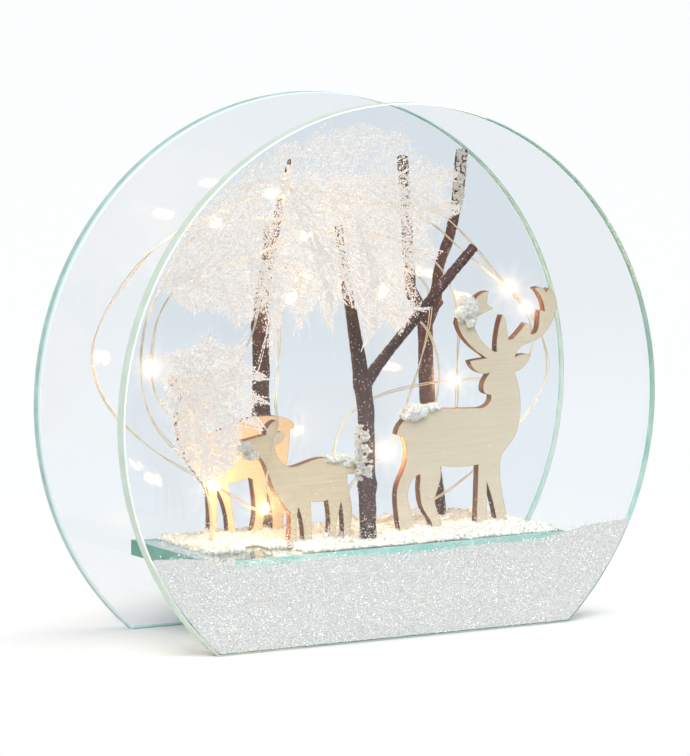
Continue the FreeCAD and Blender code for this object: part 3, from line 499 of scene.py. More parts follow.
# The near arris takes a painted highlight: near-white on the front pane, and the paler part of its
# edge on the rear pane.
for side, near_arris in (("front", "painted_highlight_arris"), ("rear", "rear_edge")):
    rims = [M[f"{side}_edge"], M[f"{side}_far_edge"], M["pane_arris"], M[near_arris]]
    paint_glass(f"{side}_glass_disc", M["pane"], rims, 1, lambda normal: edge_kind(side, normal))
paint_glass("glass_shelf", M["shelf"], [M["shelf_front"], M["shelf_end"]], 2,
            lambda normal: abs(normal.x) > 0.5)

# ---------------------------------------------------------------- making pieces


def new_piece(name, vertices, faces, materials, smooth=False):
    """A mesh object from points in millimetres."""
    mesh = bpy.data.meshes.new(name)
    points = (np.asarray(vertices, float) * MM).tolist()
    mesh.from_pydata(points, [], [list(face) for face in faces])
    mesh.update()
    for material in materials:
        mesh.materials.append(material)
    if smooth:
        mesh.shade_smooth()
    return placed(name, mesh)


def belongs(piece, slot, *replaced):
    """Rides on the fixed body and stands for CAD nodes; the slot argument is not used."""
    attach(piece, "root")
    if replaced:
        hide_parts(*replaced)
    return piece


def flakes(name, centres, along, across, thick, materials):
    """Closed kite-shaped flakes from centres, half axes and half thickness."""
    centres, along, across = (np.asarray(a, float) for a in (centres, along, across))
    normal = np.cross(along, across)
    normal *= thick / np.linalg.norm(normal, axis=1, keepdims=True)
    corners = np.stack([centres + along + normal, centres - along + normal,
                        centres + across - normal, centres - across - normal], axis=1)
    sides = np.array([(0, 2, 1), (0, 1, 3), (2, 0, 3), (2, 3, 1)])
    faces = (sides[None] + 4 * np.arange(len(centres))[:, None, None]).reshape(-1, 3)
    return new_piece(name, corners.reshape(-1, 3), faces.tolist(), materials)


def random_axes(count, size_low, size_high, tilt=None):
    """Half axes of random flakes: any way up, or within a tilt of the XZ plane."""
    normals = random.normal(size=(count, 3))
    if tilt is not None:
        normals = np.array([0, -1, 0]) + normals * tilt
    normals /= np.linalg.norm(normals, axis=1, keepdims=True)
    along = np.cross(normals, random.normal(size=(count, 3)))
    along /= np.linalg.norm(along, axis=1, keepdims=True)
    across = np.cross(normals, along)
    size = random.uniform(size_low, size_high, (count, 1))
    return along * size, across * size * random.uniform(0.5, 0.9, (count, 1))


def evaluated(thing):
    """The mesh that an object's curve or modifiers make."""
    graph = bpy.context.evaluated_depsgraph_get()
    return bpy.data.meshes.new_from_object(thing.evaluated_get(graph))


def remeshed(piece, voxel_mm):
    """Rebuilds a piece as a closed skin of small even faces."""
    modifier = piece.modifiers.new("remesh", "REMESH")
    modifier.mode, modifier.voxel_size = "VOXEL", voxel_mm * MM
    mesh = evaluated(piece)
    piece.modifiers.clear()
    piece.data = mesh
    return piece


def noise_at(x, y, z, size=1.0):
    """Smooth noise, about -1 to 1, with lumps of about the given size."""
    return noise.noise(Vector((x, y, z)) / size)


def ring_of(side, other, count):
    """Angles round a ring and the directions they point in."""
    for k in range(count):
        angle = 2 * math.pi * k / count
        yield angle, side * math.cos(angle) + other * math.sin(angle)


def tube_faces(first, rings, count):
    """Sides and both caps of a tube, from rings of `count` points that start at point `first`."""
    faces = []
    for start in range(first, first + (rings - 1) * count, count):
        for k in range(count):
            a, b = start + k, start + (k + 1) % count
            faces.append((a, b, b + count, a + count))
    faces.append([first + k for k in reversed(range(count))])
    faces.append([first + (rings - 1) * count + k for k in range(count)])
    return faces


def push_out(piece, distance):
    """Moves each point along its normal by distance(x, y, z) and smooths the shading."""
    mesh = piece.data
    count = len(mesh.vertices)
    places, normals = np.empty(3 * count), np.empty(3 * count)
    mesh.vertices.foreach_get("co", places)
    mesh.vertices.foreach_get("normal", normals)
    places, normals = places.reshape(-1, 3), normals.reshape(-1, 3)
    push = np.array([distance(*point) for point in (places / MM).tolist()])
    mesh.vertices.foreach_set("co", (places + normals * push[:, None] * MM).ravel())
    mesh.update()
    mesh.shade_smooth()


def surface_points(piece, count):
    """Random points on a mesh, in millimetres, with their normals."""
    mesh = piece.data
    mesh.calc_loop_triangles()
    corners = np.array([[mesh.vertices[v].co[:] for v in t.vertices] for t in mesh.loop_triangles])
    sides = np.cross(corners[:, 1] - corners[:, 0], corners[:, 2] - corners[:, 0])
    areas = np.linalg.norm(sides, axis=1)
    picked = random.choice(len(corners), count, p=areas / areas.sum())
    u, v = random.random((2, count, 1))
    fold = (u + v) > 1
    u, v = np.where(fold, 1 - u, u), np.where(fold, 1 - v, v)
    a, b, c = corners[picked, 0], corners[picked, 1], corners[picked, 2]
    return (a + (b - a) * u + (c - a) * v) / MM, sides[picked] / areas[picked, None]


def node_copy(node, name, material, scale=(1, 1, 1), shift=(0, 0, 0)):
    """A new piece in the shape of a CAD node, scaled about its middle and shifted."""
    mesh = NODES[node].data.copy()
    mesh.materials.clear()
    mesh.materials.append(material)
    low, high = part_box(node)
    middle = (low + high) / 2
    for vertex in mesh.vertices:
        vertex.co = middle + (vertex.co - middle) * Vector(scale) + Vector(shift) * MM
    return placed(name, mesh)


# ---------------------------------------------------------------- light string

# The route of the paired wire, and where a light sits on it: the same points as its CAD solid.
WIRE_ROUTE = [
    (-39, 6, 14.5), (-45, 6, 14.5), (-49, 6, 19.5), (-49.4, 5.8, 32), (-50, 5, 42), (-54, 4, 54),
    (-65, 2, 63), (-74, 0, 72), (-79, -2, 83), (-80, -3, 94), (-78, -2, 104), (-73, 0, 113),
    (-65, 3.5, 122), (-57, 7.5, 129.5), (-48, 11, 134, True), (-41, 12, 136), (-31, 11, 136),
    (-20, 7, 135), (-9, 2, 138), (6, -2, 140), (20, -4, 140), (33, -3, 136), (45, -1.5, 125.3),
    (57.5, 0.5, 112.5, True), (65.5, 2, 105.5), (72, 3.5, 96.3), (73.5, 5, 86.2), (68, 7, 80),
    (59, 8, 78), (49, 8.5, 78, True), (39, 6, 78.5), (25, 3, 78), (10, 1, 76), (-2, -1, 71),
    (-8, -3, 63), (-10, -4, 52), (-17, -4, 43), (-28, -4, 39), (-39, -3, 42), (-47, 0, 48, True),
    (-56, 1, 53), (-69, 5, 61), (-80, 9, 71), (-86, 13, 82), (-88, 15, 93), (-84, 16, 104),
    (-76, 16, 115), (-67, 14, 126), (-58, 12, 132), (-45, 11, 138), (-30, 9, 143, True),
    (-20, 8, 145), (-7, 6, 144), (9, 4, 141), (22, 3, 137), (34, 2, 131), (44, 2.5, 122),
    (57, 6, 113.8), (68.9, 7.5, 103.8, True), (75.9, 8.5, 97.8), (79.5, 7.5, 88.9), (80, 5, 79),
    (74, 4, 69), (65, 3, 61), (50, 2, 49), (36, 1, 41), (22, 0, 36), (9, -2, 34), (1, -3, 35),
    (-4, -3, 40), (-3, -3, 47), (3, -3, 52), (9, -2.5, 55.5, True), (15, -2, 60), (20, 0, 70),
    (26, 1, 83), (31, 2, 97), (32, 2, 108), (27, 2, 115), (19, 2, 118), (14, 2, 114, True),
    (12, 1, 107), (16, -1, 102), (23, -3, 102), (28, -4, 96), (31, -4, 87), (32, -3, 78),
    (30, -2, 69), (31, -1, 62), (36, 1, 60), (42, 3, 64), (43, 4, 73), (43, 4, 85), (44, 4, 97),
    (42, 4, 108), (35, 3, 119), (24, 3, 125), (12, 2, 129.5), (-1, 1, 131), (-13, 0, 130.5, True),
    (-21, 0, 130), (-32, 2, 126), (-44, 4, 121), (-55, 6, 119), (-64, 7, 113), (-68, 9, 104),
    (-68, 12, 94, True), (-68, 12, 83), (-66, 9, 76), (-61, 5, 70), (-53, 3, 71), (-47, 2, 79),
    (-41, 0, 92), (-37, -2, 102), (-36, -2, 112), (-32, -3, 119), (-24, -3, 122),
    (-20, -4, 115, True), (-31, -6, 107), (-33, -11, 97), (-36, -15, 87), (-39, -18, 79),
    (-38, -19, 71), (-41, -19, 63), (-42, -18, 55), (-40, -14, 49), (-38.3, -10, 43.2),
]


def wire_centreline():
    """Points along the smooth spline that the route controls."""
    curve = bpy.data.curves.new("wire_route", "CURVE")
    curve.dimensions = "3D"
    curve.resolution_u = 10
    spline = curve.splines.new("NURBS")
    spline.points.add(len(WIRE_ROUTE) - 1)
    for point, place in zip(spline.points, WIRE_ROUTE):
        point.co = (*(Vector(place[:3]) * MM), 1)
    spline.order_u = 3
    spline.use_endpoint_u = True
    holder = placed("wire_route", curve)
    mesh = evaluated(holder)
    points = np.array([vertex.co[:] for vertex in mesh.vertices])
    bpy.data.objects.remove(holder)
    bpy.data.meshes.remove(mesh)
    return points / MM


def light_wire():
    """Two thin strands that wander round each other along the centreline."""
    path = wire_centreline()
    tangents = np.gradient(path, axis=0)
    tangents /= np.linalg.norm(tangents, axis=1, keepdims=True)
    side = np.empty_like(path)
    side[0] = np.cross(tangents[0], (0, 0, 1))
    for i in range(1, len(path)):
        side[i] = side[i - 1] - tangents[i] * side[i - 1].dot(tangents[i])
        side[i] /= np.linalg.norm(side[i])
    other = np.cross(tangents, side)
    run = np.concatenate([[0], np.cumsum(np.linalg.norm(np.diff(path, axis=0), axis=1))])
    ring, strand_radius = 6, 0.19
    turn = run / 9 + 1.3 * np.sin(run / 23)
    gap = 0.24 + 0.16 * np.sin(run / 31) ** 2
    vertices, faces = [], []
    for phase in (0, math.pi):
        middle = path + gap[:, None] * (side * np.cos(turn + phase)[:, None]
                                        + other * np.sin(turn + phase)[:, None])
        faces += tube_faces(len(vertices), len(middle), ring)
        for i, centre in enumerate(middle):
            vertices += [centre + strand_radius * out
                         for _, out in ring_of(side[i], other[i], ring)]
    wire = new_piece("light_wire_strands", vertices, faces, [M["copper"]], smooth=True)
    return belongs(wire, "copper_wire", "light_wire"), path * MM


# Place along the wire and radius of a resin drop.
DROP_PROFILE = [(-2.45, 0.42), (-2.1, 0.72), (-1.5, 1.12), (-0.7, 1.38), (0.1, 1.42), (0.9, 1.27),
                (1.6, 0.92), (2.1, 0.6), (2.4, 0.4)]


def light_drop(number, centre, direction):
    """A resin drop with its chip inside, drawn out along the wire, and the light it gives."""
    axis = Vector(direction).normalized()
    side = axis.orthogonal().normalized()
    other = axis.cross(side)
    ring = 14
    vertices = []
    for along, radius in DROP_PROFILE:
        for angle, out in ring_of(side, other, ring):
            wobble = 1 + 0.09 * noise_at(along, 3 * math.cos(angle), number + 3 * math.sin(angle))
            vertices.append(Vector(centre) + axis * along + out * radius * wobble)
    faces = tube_faces(0, len(DROP_PROFILE), ring)
    shell, first = len(faces), len(vertices)
    vertices += [Vector(centre) + axis * u + side * v + other * w
                 for u in (-0.7, 0.7) for v in (-0.45, 0.45) for w in (-0.3, 0.3)]
    faces += [[first + i for i in face] for face in
              ((0, 1, 3, 2), (4, 6, 7, 5), (0, 4, 5, 1), (2, 3, 7, 6), (0, 2, 6, 4), (1, 5, 7, 3))]
    drop = new_piece(f"light_drop_{number:02d}", vertices, faces, [M["resin"], M["chip"]],
                     smooth=True)
    for polygon in drop.data.polygons[shell:]:
        polygon.material_index = 1
        polygon.use_smooth = False
    drop.visible_shadow = False
    power = LAMP_POWER_BESIDE_DOE if number in BESIDE_DOE else LAMP_POWER
    lamp("POINT", f"light_{number:02d}", Vector(centre) * MM, power, LAMP_GLOW,
         shadow_soft_size=0.0015)
    return belongs(drop, "lamp_resin", f"led_bead_{number:02d}")


def light_string():
    wire, path = light_wire()
    lit = [i for i, point in enumerate(WIRE_ROUTE) if len(point) > 3]
    drops = []
    for number, i in enumerate(lit, start=1):
        a, b = Vector(WIRE_ROUTE[i][:3]), Vector(WIRE_ROUTE[i + 1][:3])
        drops.append(light_drop(number, (a + b) / 2, b - a))
    before, last = Vector(WIRE_ROUTE[-2]), Vector(WIRE_ROUTE[-1])
    drops.append(light_drop(len(lit) + 1, last, last - before))


light_string()

# ---------------------------------------------------------------- glue lines


def glue_line(node):
    """The bonded joint between shelf and pane, which takes the green of the shelf's edge."""
    joint = node_copy(node, f"{node}_joint", M["shelf_front"], scale=(0.998, 0.7, 0.97))
    return belongs(joint, "clear_glue", node)


glue_line("front_glue_line")
glue_line("rear_glue_line")

# ---------------------------------------------------------------- plywood figures


def ply_figure(name, sheet="ply"):
    """The cut sheet, with a thin scorched line round both faces and burnt edges."""
    cut = bmesh.new()
    cut.from_mesh(NODES[name].data)
    bmesh.ops.remove_doubles(cut, verts=cut.verts, dist=1e-6)
    cut.normal_update()
    broad = []
    for faces in [[face for face in cut.faces if face.normal.y * way > 0.99] for way in (-1, 1)]:
        broad += bmesh.ops.dissolve_faces(cut, faces=faces, use_verts=False)["region"]
    face_slot, scorch_slot, burnt_slot = range(3)
    for face in cut.faces:
        face.material_index = burnt_slot
    for face in broad:
        face.material_index = face_slot
        rim = bmesh.ops.inset_region(cut, faces=[face], thickness=0.2 * MM, depth=0,
                                     use_even_offset=True, use_boundary=True)["faces"]
        for strip in rim:
            strip.material_index = scorch_slot
    bmesh.ops.triangulate(cut, faces=[face for face in cut.faces if len(face.verts) > 4])
    mesh = bpy.data.meshes.new(f"{name}_plywood")
    cut.to_mesh(mesh)
    cut.free()
    for key in (sheet, "scorch", "burnt"):
        mesh.materials.append(M[key])
    return belongs(placed(f"{name}_plywood", mesh), "plywood", name)


FIGURES = [ply_figure("stag"), ply_figure("doe", "warm_ply"), ply_figure("fawn", "shade_ply")]

# ---------------------------------------------------------------- twigs

# Branches of each twig: points of (x, y, z, radius), from the thick end.
TWIGS = {
    "left_twig": [
        [(-22.2, 20.4, 30.3, 3.15), (-22.4, 20.6, 50, 2.95), (-22.6, 20.8, 72, 2.9),
         (-22.5, 21, 90, 2.8), (-22.2, 20.9, 104, 2.75), (-21.2, 20.8, 114, 2.4),
         (-19.6, 20.6, 122, 2.1), (-16.6, 20.2, 134, 1.45), (-14, 19.9, 145, 1.05),
         (-12.2, 19.6, 154, 0.8)],
        [(-20.4, 20.6, 118, 1.5), (-20.8, 20, 125, 1.3), (-21, 19.2, 132, 1.15)]],
    "middle_twig": [
        [(-3.4, -16.8, 30.3, 2.85), (-3.7, -16.8, 46, 2.75), (-3.9, -16.8, 62, 2.7),
         (-4.2, -16.8, 74, 2.75), (-5.4, -16.8, 82, 2.8), (-7.4, -16.9, 93, 2.3),
         (-9.6, -17, 105, 2.0), (-12.8, -17.3, 122, 1.65), (-14.9, -17.6, 135, 1.35)],
        [(-5.4, -16.8, 80.5, 2.2), (-2.4, -16.6, 85.4, 2.0), (2.2, -16.4, 90.2, 1.8),
         (10.6, -16.2, 98.8, 1.7), (19.8, -16, 107.8, 1.72), (29.4, -15.7, 117.6, 1.68),
         (37.6, -15.4, 125.4, 1.66)]],
    "right_twig": [
        [(40, 10.8, 30.3, 2.85), (38.2, 10.8, 46, 2.75), (35.6, 10.8, 71, 2.7),
         (34.8, 10.8, 88, 2.5), (34.6, 10.8, 99, 2.5), (31.6, 10.8, 104, 2.0),
         (29, 10.8, 109, 1.75), (27.8, 10.9, 127, 1.9), (26.8, 10.9, 140, 1.85),
         (25.8, 11, 154, 1.85)],
        [(34.8, 10.8, 97, 2.1), (37.2, 10.7, 101, 2.0), (38.6, 10.6, 104.6, 2.1),
         (38.8, 10.5, 110, 1.75), (39.8, 10.4, 117, 1.65), (44.2, 10.3, 127, 1.75),
         (46.6, 10.2, 138, 1.9), (48.4, 10, 155.4, 2.0)],
        [(38.6, 10.6, 103.2, 1.4), (40, 10.5, 104.2, 1.25), (41, 10.4, 105, 0.95)]],
}
# Where a bud or an old side shoot swells the bark: twig, branch, share of the way along it, size.
KNOTS = {"left_twig": [(0, 0.55, 1.25), (0, 0.3, 1.15)],
         "middle_twig": [(0, 0.18, 1.2), (0, 0.5, 1.15)],
         "right_twig": [(1, 0.2, 1.15), (0, 0.62, 1.2), (0, 0.25, 1.15)]}
KNOT_REACH = 0.02


def branch_mesh(points, knots, vertices, faces):
    """A closed tapering tube through the points, smoothed between them."""
    points = np.array(points, float)
    steps = np.concatenate([[0], np.cumsum(np.linalg.norm(np.diff(points[:, :3], axis=0), axis=1))])
    count = max(8, int(steps[-1] / 1.1))
    where = np.linspace(0, steps[-1], count)
    smooth = np.stack([np.interp(where, steps, points[:, axis]) for axis in range(4)], axis=1)
    for _ in range(6):
        smooth[1:-1, :3] = (smooth[:-2, :3] + 2 * smooth[1:-1, :3] + smooth[2:, :3]) / 4
    tangents = np.gradient(smooth[:, :3], axis=0)
    ring = 16
    faces += tube_faces(len(vertices), count, ring)
    for i, (x, y, z, radius) in enumerate(smooth):
        tangent = Vector(tangents[i]).normalized()
        side = tangent.cross((0, 1, 0)).normalized()
        other = tangent.cross(side)
        share = where[i] / steps[-1]
        swell = 1 + sum((size - 1) * math.exp(-((share - at) / KNOT_REACH) ** 2)
                        for _, at, size in knots)
        vertices += [Vector((x, y, z)) + out * radius * swell
                     for _, out in ring_of(side, other, ring)]


def twig(name):
    vertices, faces = [], []
    for number, points in enumerate(TWIGS[name]):
        knots = [knot for knot in KNOTS[name] if knot[0] == number]
        branch_mesh(points, knots, vertices, faces)
    piece = remeshed(new_piece(f"{name}_bark", vertices, faces, [M["bark"]]), 0.4)
    push_out(piece, bark_relief)
    return belongs(piece, "bark", name)


def bark_relief(x, y, z):
    """Long shallow ridges, a slightly uneven girth and small pits."""
    ridges = noise_at(x * 1.1, y * 1.1, z * 0.10)
    girth = noise_at(x * 0.25, y * 0.25, z * 0.16)
    pits = noise_at(x * 1.6, y * 1.6, z * 1.2)
    return 0.20 * ridges + 0.22 * girth + 0.10 * pits


TWIG_PIECES = [twig(name) for name in TWIGS]

# ---------------------------------------------------------------- snow

# Drifts on the shelf: centre x and y, half sizes x and y, and height over the shelf.
DRIFTS = [
    (-44, 8.5, 11, 8, 3.4), (-24, 14, 13, 9, 3), (-22, -12, 16, 8, 2.8), (4, -14, 15, 7, 2.4),
    (22, -7, 14, 7, 2.8), (48, -7, 14, 8, 3.2), (42, 13, 14, 8, 4), (-52, -8, 9, 9, 2.6),
    (10, 17, 18, 7, 2.4),
]
# Small heaps round hooves and twigs: centre x and y, radius and height.
HEAPS = [
    (-46.2, 12.5, 3.0, 5.2), (-39, 12.5, 2.4, 2.8), (-31, 12.5, 2.4, 2.4), (-23, 12.5, 3, 2.8),
    (-30, -12.8, 2, 1.8), (-24.6, -12.8, 2, 2), (-16.8, -12.8, 2.8, 4.0), (-9.8, -12.8, 2.4, 3),
    (15.9, -8.2, 2.6, 2.6), (27.4, -8.2, 2.4, 2.4), (44.6, -8.2, 2.4, 2.6), (52.9, -8.2, 2.4, 2.4),
    (-22.2, 20.4, 4.4, 3.2), (-3.4, -16.8, 4.4, 2.8), (40, 10.8, 4.4, 3.6),
]
BED_X, BED_Y = (-61, 65), (-25.5, 25.5)
# Where the light wire comes up through the shelf: its place and the radius the snow leaves free.
WIRE_HOLE, WIRE_HOLE_RADIUS = (-49.2, 5.9), 1.4


def smoothstep(value):
    value = min(max(value, 0.0), 1.0)
    return value * value * (3 - 2 * value)


def bed_height(x, y):
    """Height of the snow over the shelf, which thins and breaks up towards its border."""
    crumbs, fine, lumps = noise_at(x, y, 0, 0.8), noise_at(x, y, 3, 1.7), noise_at(x, y, 5, 4.5)
    height = 1.2 + 0.6 * crumbs + 0.75 * fine + 0.9 * lumps
    for cx, cy, rx, ry, top in DRIFTS:
        inside = 1 - ((x - cx) / rx) ** 2 - ((y - cy) / ry) ** 2
        if inside > 0:
            drift = top * math.sqrt(inside) * 0.9
            height = max(height, drift + 0.6 * crumbs + 0.7 * fine + 0.4 * lumps)
    for cx, cy, radius, top in HEAPS:
        near = ((x - cx) ** 2 + (y - cy) ** 2) / radius ** 2
        if near < 5:
            height = max(height, top * math.exp(-near) + 0.6 * crumbs + 0.8 * fine)
    ragged = 3 * noise_at(x, y, 2, 4) + 1.5 * crumbs
    corner = smoothstep((-12 - y + ragged) / 3) * smoothstep((-31 - x + ragged) / 4)
    gap = smoothstep((-3 - y + ragged) / 2) * smoothstep((5 - abs(x + 42)) / 2)
    height -= 6 * max(corner, gap)
    edge = min(x - BED_X[0], BED_X[1] - x, (y - BED_Y[0]) * 3, (BED_Y[1] - y) * 3)
    ragged = edge + 3.0 * noise_at(x, y, 9, 3.2) + 1.2 * fine
    hole = math.hypot(x - WIRE_HOLE[0], y - WIRE_HOLE[1]) - WIRE_HOLE_RADIUS
    return height * smoothstep(ragged / 3.0) * smoothstep(hole / 1.5)


def snow_bed():
    step, thinnest, floor = 0.42, 0.12, SHELF_TOP + 0.02
    xs = np.arange(BED_X[0], BED_X[1] + step, step)
    ys = np.arange(BED_Y[0], BED_Y[1] + step, step)
    heights = np.array([[bed_height(x, y) for y in ys] for x in xs])
    shape = heights.shape
    wobble = random.uniform(-0.12, 0.12, (*shape, 2))
    keep = heights > thinnest
    full = keep[:-1, :-1] & keep[1:, :-1] & keep[:-1, 1:] & keep[1:, 1:]
    index = np.arange(heights.size).reshape(shape)
    bottom = heights.size
    vertices = np.empty((2 * heights.size, 3))
    grid_x, grid_y = np.meshgrid(xs, ys, indexing="ij")
    for layer, z in enumerate((SHELF_TOP + heights, np.full(shape, floor))):
        block = vertices[layer * bottom:(layer + 1) * bottom]
        block[:, 0] = (grid_x + wobble[..., 0]).ravel()
        block[:, 1] = (grid_y + wobble[..., 1]).ravel()
        block[:, 2] = z.ravel()
    faces = []
    for i, j in zip(*np.nonzero(full)):
        a, b, c, d = index[i, j], index[i + 1, j], index[i + 1, j + 1], index[i, j + 1]
        faces.append((a, b, c, d))
        faces.append((bottom + d, bottom + c, bottom + b, bottom + a))
        for p, q, beside in ((a, b, (i, j - 1)), (b, c, (i + 1, j)),
                             (c, d, (i, j + 1)), (d, a, (i - 1, j))):
            inside = 0 <= beside[0] < full.shape[0] and 0 <= beside[1] < full.shape[1]
            if not (inside and full[beside]):
                faces.append((q, p, bottom + p, bottom + q))
    piece = new_piece("snow_crust_bed", vertices, faces, [M["snow"]], smooth=True)
    trim = bmesh.new()
    trim.from_mesh(piece.data)
    bmesh.ops.delete(trim, geom=[v for v in trim.verts if not v.link_faces], context="VERTS")
    trim.to_mesh(piece.data)
    trim.free()
    return belongs(piece, "snow", "snow_bed")


def clump_relief(x, y, z):
    return (0.75 * noise_at(x, y, z, 1.5) + 0.45 * noise_at(x, y, z, 0.7)
            + 0.3 * noise_at(x, y, z, 3))


def snow_clump(name, shrink, scale=(1, 1, 1), shift=(0, 0, 0)):
    """Crumbly snow in the shape of its CAD node, or a little smaller."""
    piece = remeshed(node_copy(name, f"{name}_crust", M["clump"], scale, shift), 0.32)
    push_out(piece, lambda x, y, z: clump_relief(x, y, z) - shrink)
    return belongs(piece, "snow", name)


class Flakes:
    """Collects loose flakes of snow that cling to pieces."""

    def __init__(self):
        self.centres, self.sizes = [], []

    def cling(self, piece, count, small, large, wanted=None, stand=0.35):
        points, normals = surface_points(piece, count)
        if wanted is not None:
            chance = np.array([wanted(*point, *normal) for point, normal in zip(points, normals)])
            chosen = random.random(len(points)) < chance
            points, normals = points[chosen], normals[chosen]
        size = random.uniform(small, large, len(points))
        self.centres.append(points + normals * size[:, None] * stand)
        self.sizes.append(size)

    def piece(self, name, thick):
        centres, sizes = np.concatenate(self.centres), np.concatenate(self.sizes)
        above = centres[:, 2] > SHELF_TOP + 0.2
        centres, sizes = centres[above], sizes[above, None]
        along, across = random_axes(len(centres), 1.0, 1.0)
        return flakes(name, centres, along * sizes, across * sizes, thick, [M["snow_flake"]])


def twig_crust(piece, name, region, small=0.2, large=0.5, stand=1.0):
    """Frost-like snow that hugs the bark of a twig."""
    crust = Flakes()
    crust.cling(piece, 40000, small, large, region, stand=0.2)
    crust.cling(piece, 16000, small, large, region, stand=stand)
    return belongs(crust.piece(f"{name}_crust", 0.16), "snow", name)


def right_tip(x, y, z, nx, ny, nz):
    strip = -0.35 * nx - 0.94 * ny > 0.62 + 0.7 * noise_at(x, y, z / 3, 1.1)
    above = z > 135 + 2.5 * noise_at(x, y, z, 3)
    return float(above and x > 43 and strip and noise_at(x, y, z, 1) > -0.18)


def middle_side(x, y, z, nx, ny, nz):
    left = -0.9 * nx - 0.43 * ny > 0.5 + 0.8 * noise_at(x, y, z / 2, 1.8)
    return float(51 < z < 69.5 and left and noise_at(x, y, z, 2.0) > -0.12)


def left_tip(x, y, z, nx, ny, nz):
    return float(138 < z < 152 and noise_at(x, y, z, 2.2) > -0.05 and x < -11)


SNOW_BED = snow_bed()
CLUMPS = [snow_clump("snow_on_antler", 0.45, (0.7, 0.75, 0.82), (-2.2, 0, 1.1)),
          snow_clump("snow_on_stag_back", 0.35), snow_clump("snow_on_fawn_back", 0.3),
          snow_clump("snow_under_fawn_chin", 0.25)]
twig_crust(TWIG_PIECES[0], "snow_on_left_twig", left_tip)
twig_crust(TWIG_PIECES[1], "snow_on_middle_twig", middle_side, 0.22, 0.55, 2.4)
twig_crust(TWIG_PIECES[2], "snow_on_right_twig", right_tip)


def snow_grains():
    """Loose flakes on everything, thickest low down and on the clumps."""
    grains = Flakes()

    def low(x, y, z, *normal):
        return math.exp(-(z - SHELF_TOP) / 4.5)

    def foot(x, y, z, *normal):
        buried = 4.5 * math.exp(-((x + 46) / 3) ** 2) + 3 * math.exp(-((x + 17) / 3) ** 2)
        crust = 2.6 + buried + 3 * noise_at(x, y, 0, 2.5) + 2 * noise_at(x, y, z, 1)
        return float(z < SHELF_TOP + crust)

    for clump in CLUMPS:
        grains.cling(clump, 2300, 0.16, 0.5)
    grains.cling(SNOW_BED, 15000, 0.16, 0.55)
    grains.cling(SNOW_BED, 2400, 0.5, 0.95)
    for figure in FIGURES:
        grains.cling(figure, 7000, 0.14, 0.36, low)
        grains.cling(figure, 9000, 0.2, 0.5, foot)
        grains.cling(figure, 150, 0.1, 0.22)
    for piece in TWIG_PIECES:
        grains.cling(piece, 6500, 0.14, 0.4, low)
        grains.cling(piece, 6000, 0.2, 0.5, foot)
        grains.cling(piece, 520, 0.13, 0.3)
    return belongs(grains.piece("snow_grains", 0.12), "snow")


snow_grains()

# ---------------------------------------------------------------- prints on the front pane

PRINT_RADIUS, GLITTER_RADIUS = 98.4, 98.7
# Outlines of the two prints, and of the denser middle of the lower one, as (x, z).
UPPER_FROST = [
    (-88.4, 120.3), (-79, 138), (-66, 150), (-56, 158), (-44, 163), (-24, 168), (-14, 169),
    (2, 167), (10, 159), (24, 152), (18, 146), (25, 139), (12, 133), (16, 124), (7, 118), (10, 108),
    (1, 100), (-5, 104), (-12, 97), (-15, 108), (-21, 112), (-26, 103), (-30, 111), (-37, 102),
    (-41, 113), (-47, 91), (-51, 108), (-58, 106), (-66, 110), (-76, 111),
]
LOWER_FROST = [
    (-88, 99), (-76, 101), (-70, 106), (-64, 101), (-55, 101), (-57, 95), (-47, 90), (-54, 86),
    (-46, 81), (-52, 79), (-49, 72), (-57, 73), (-58, 64), (-64, 57), (-71, 54), (-77, 60),
    (-83, 68), (-82, 76), (-88, 84), (-83, 90),
]
LOWER_CORE = [
    (-87, 92), (-84, 98), (-72, 102), (-61, 99), (-56, 91), (-58, 82), (-58, 73), (-61, 62),
    (-66, 54), (-74, 58), (-82, 67), (-85, 80),
]
# Stems of the printed branches, and how far to either side their needles lean, in degrees.
UPPER_STEMS = [
    ([(-90, 118), (-68, 134), (-44, 146), (-20, 151), (4, 149)], 14, 38),
    ([(-87, 114), (-62, 124), (-36, 131), (-12, 132), (8, 124)], 14, 40),
    ([(-62, 148), (-40, 160), (-14, 165)], 10, 30),
    ([(-60, 136), (-48, 120), (-44, 104), (-46, 94)], 4, 26),
    ([(-34, 140), (-24, 128), (-12, 112), (-6, 102)], 6, 30),
    ([(-46, 156), (-36, 142), (-27, 124), (-24, 112)], 3, 20),
    ([(-22, 150), (-14, 134), (-7, 116), (-4, 104)], 3, 22),
    ([(-84, 122), (-70, 124), (-56, 116)], 14, 40),
    ([(-30, 128), (-26, 116), (-24, 106)], 6, 28),
    ([(-12, 140), (6, 141), (22, 140)], 6, 24),
]
LOWER_STEMS = [
    ([(-88, 99), (-76, 86), (-63, 70), (-58, 62)], 10, 40),
    ([(-86, 82), (-72, 90), (-52, 91)], 8, 34),
    ([(-84, 98), (-70, 100), (-57, 99)], 8, 34),
    ([(-80, 66), (-68, 68), (-56, 76)], 8, 40),
]


def within(points, outline):
    """Which points (x, z) lie inside a closed outline."""
    x, z = points[:, 0], points[:, 1]
    hit = np.zeros(len(points), bool)
    for (x1, z1), (x2, z2) in zip(outline, outline[1:] + outline[:1]):
        crosses = (z1 > z) != (z2 > z)
        with np.errstate(divide="ignore", invalid="ignore"):
            hit ^= crosses & (x < (x2 - x1) * (z - z1) / (z2 - z1) + x1)
    return hit


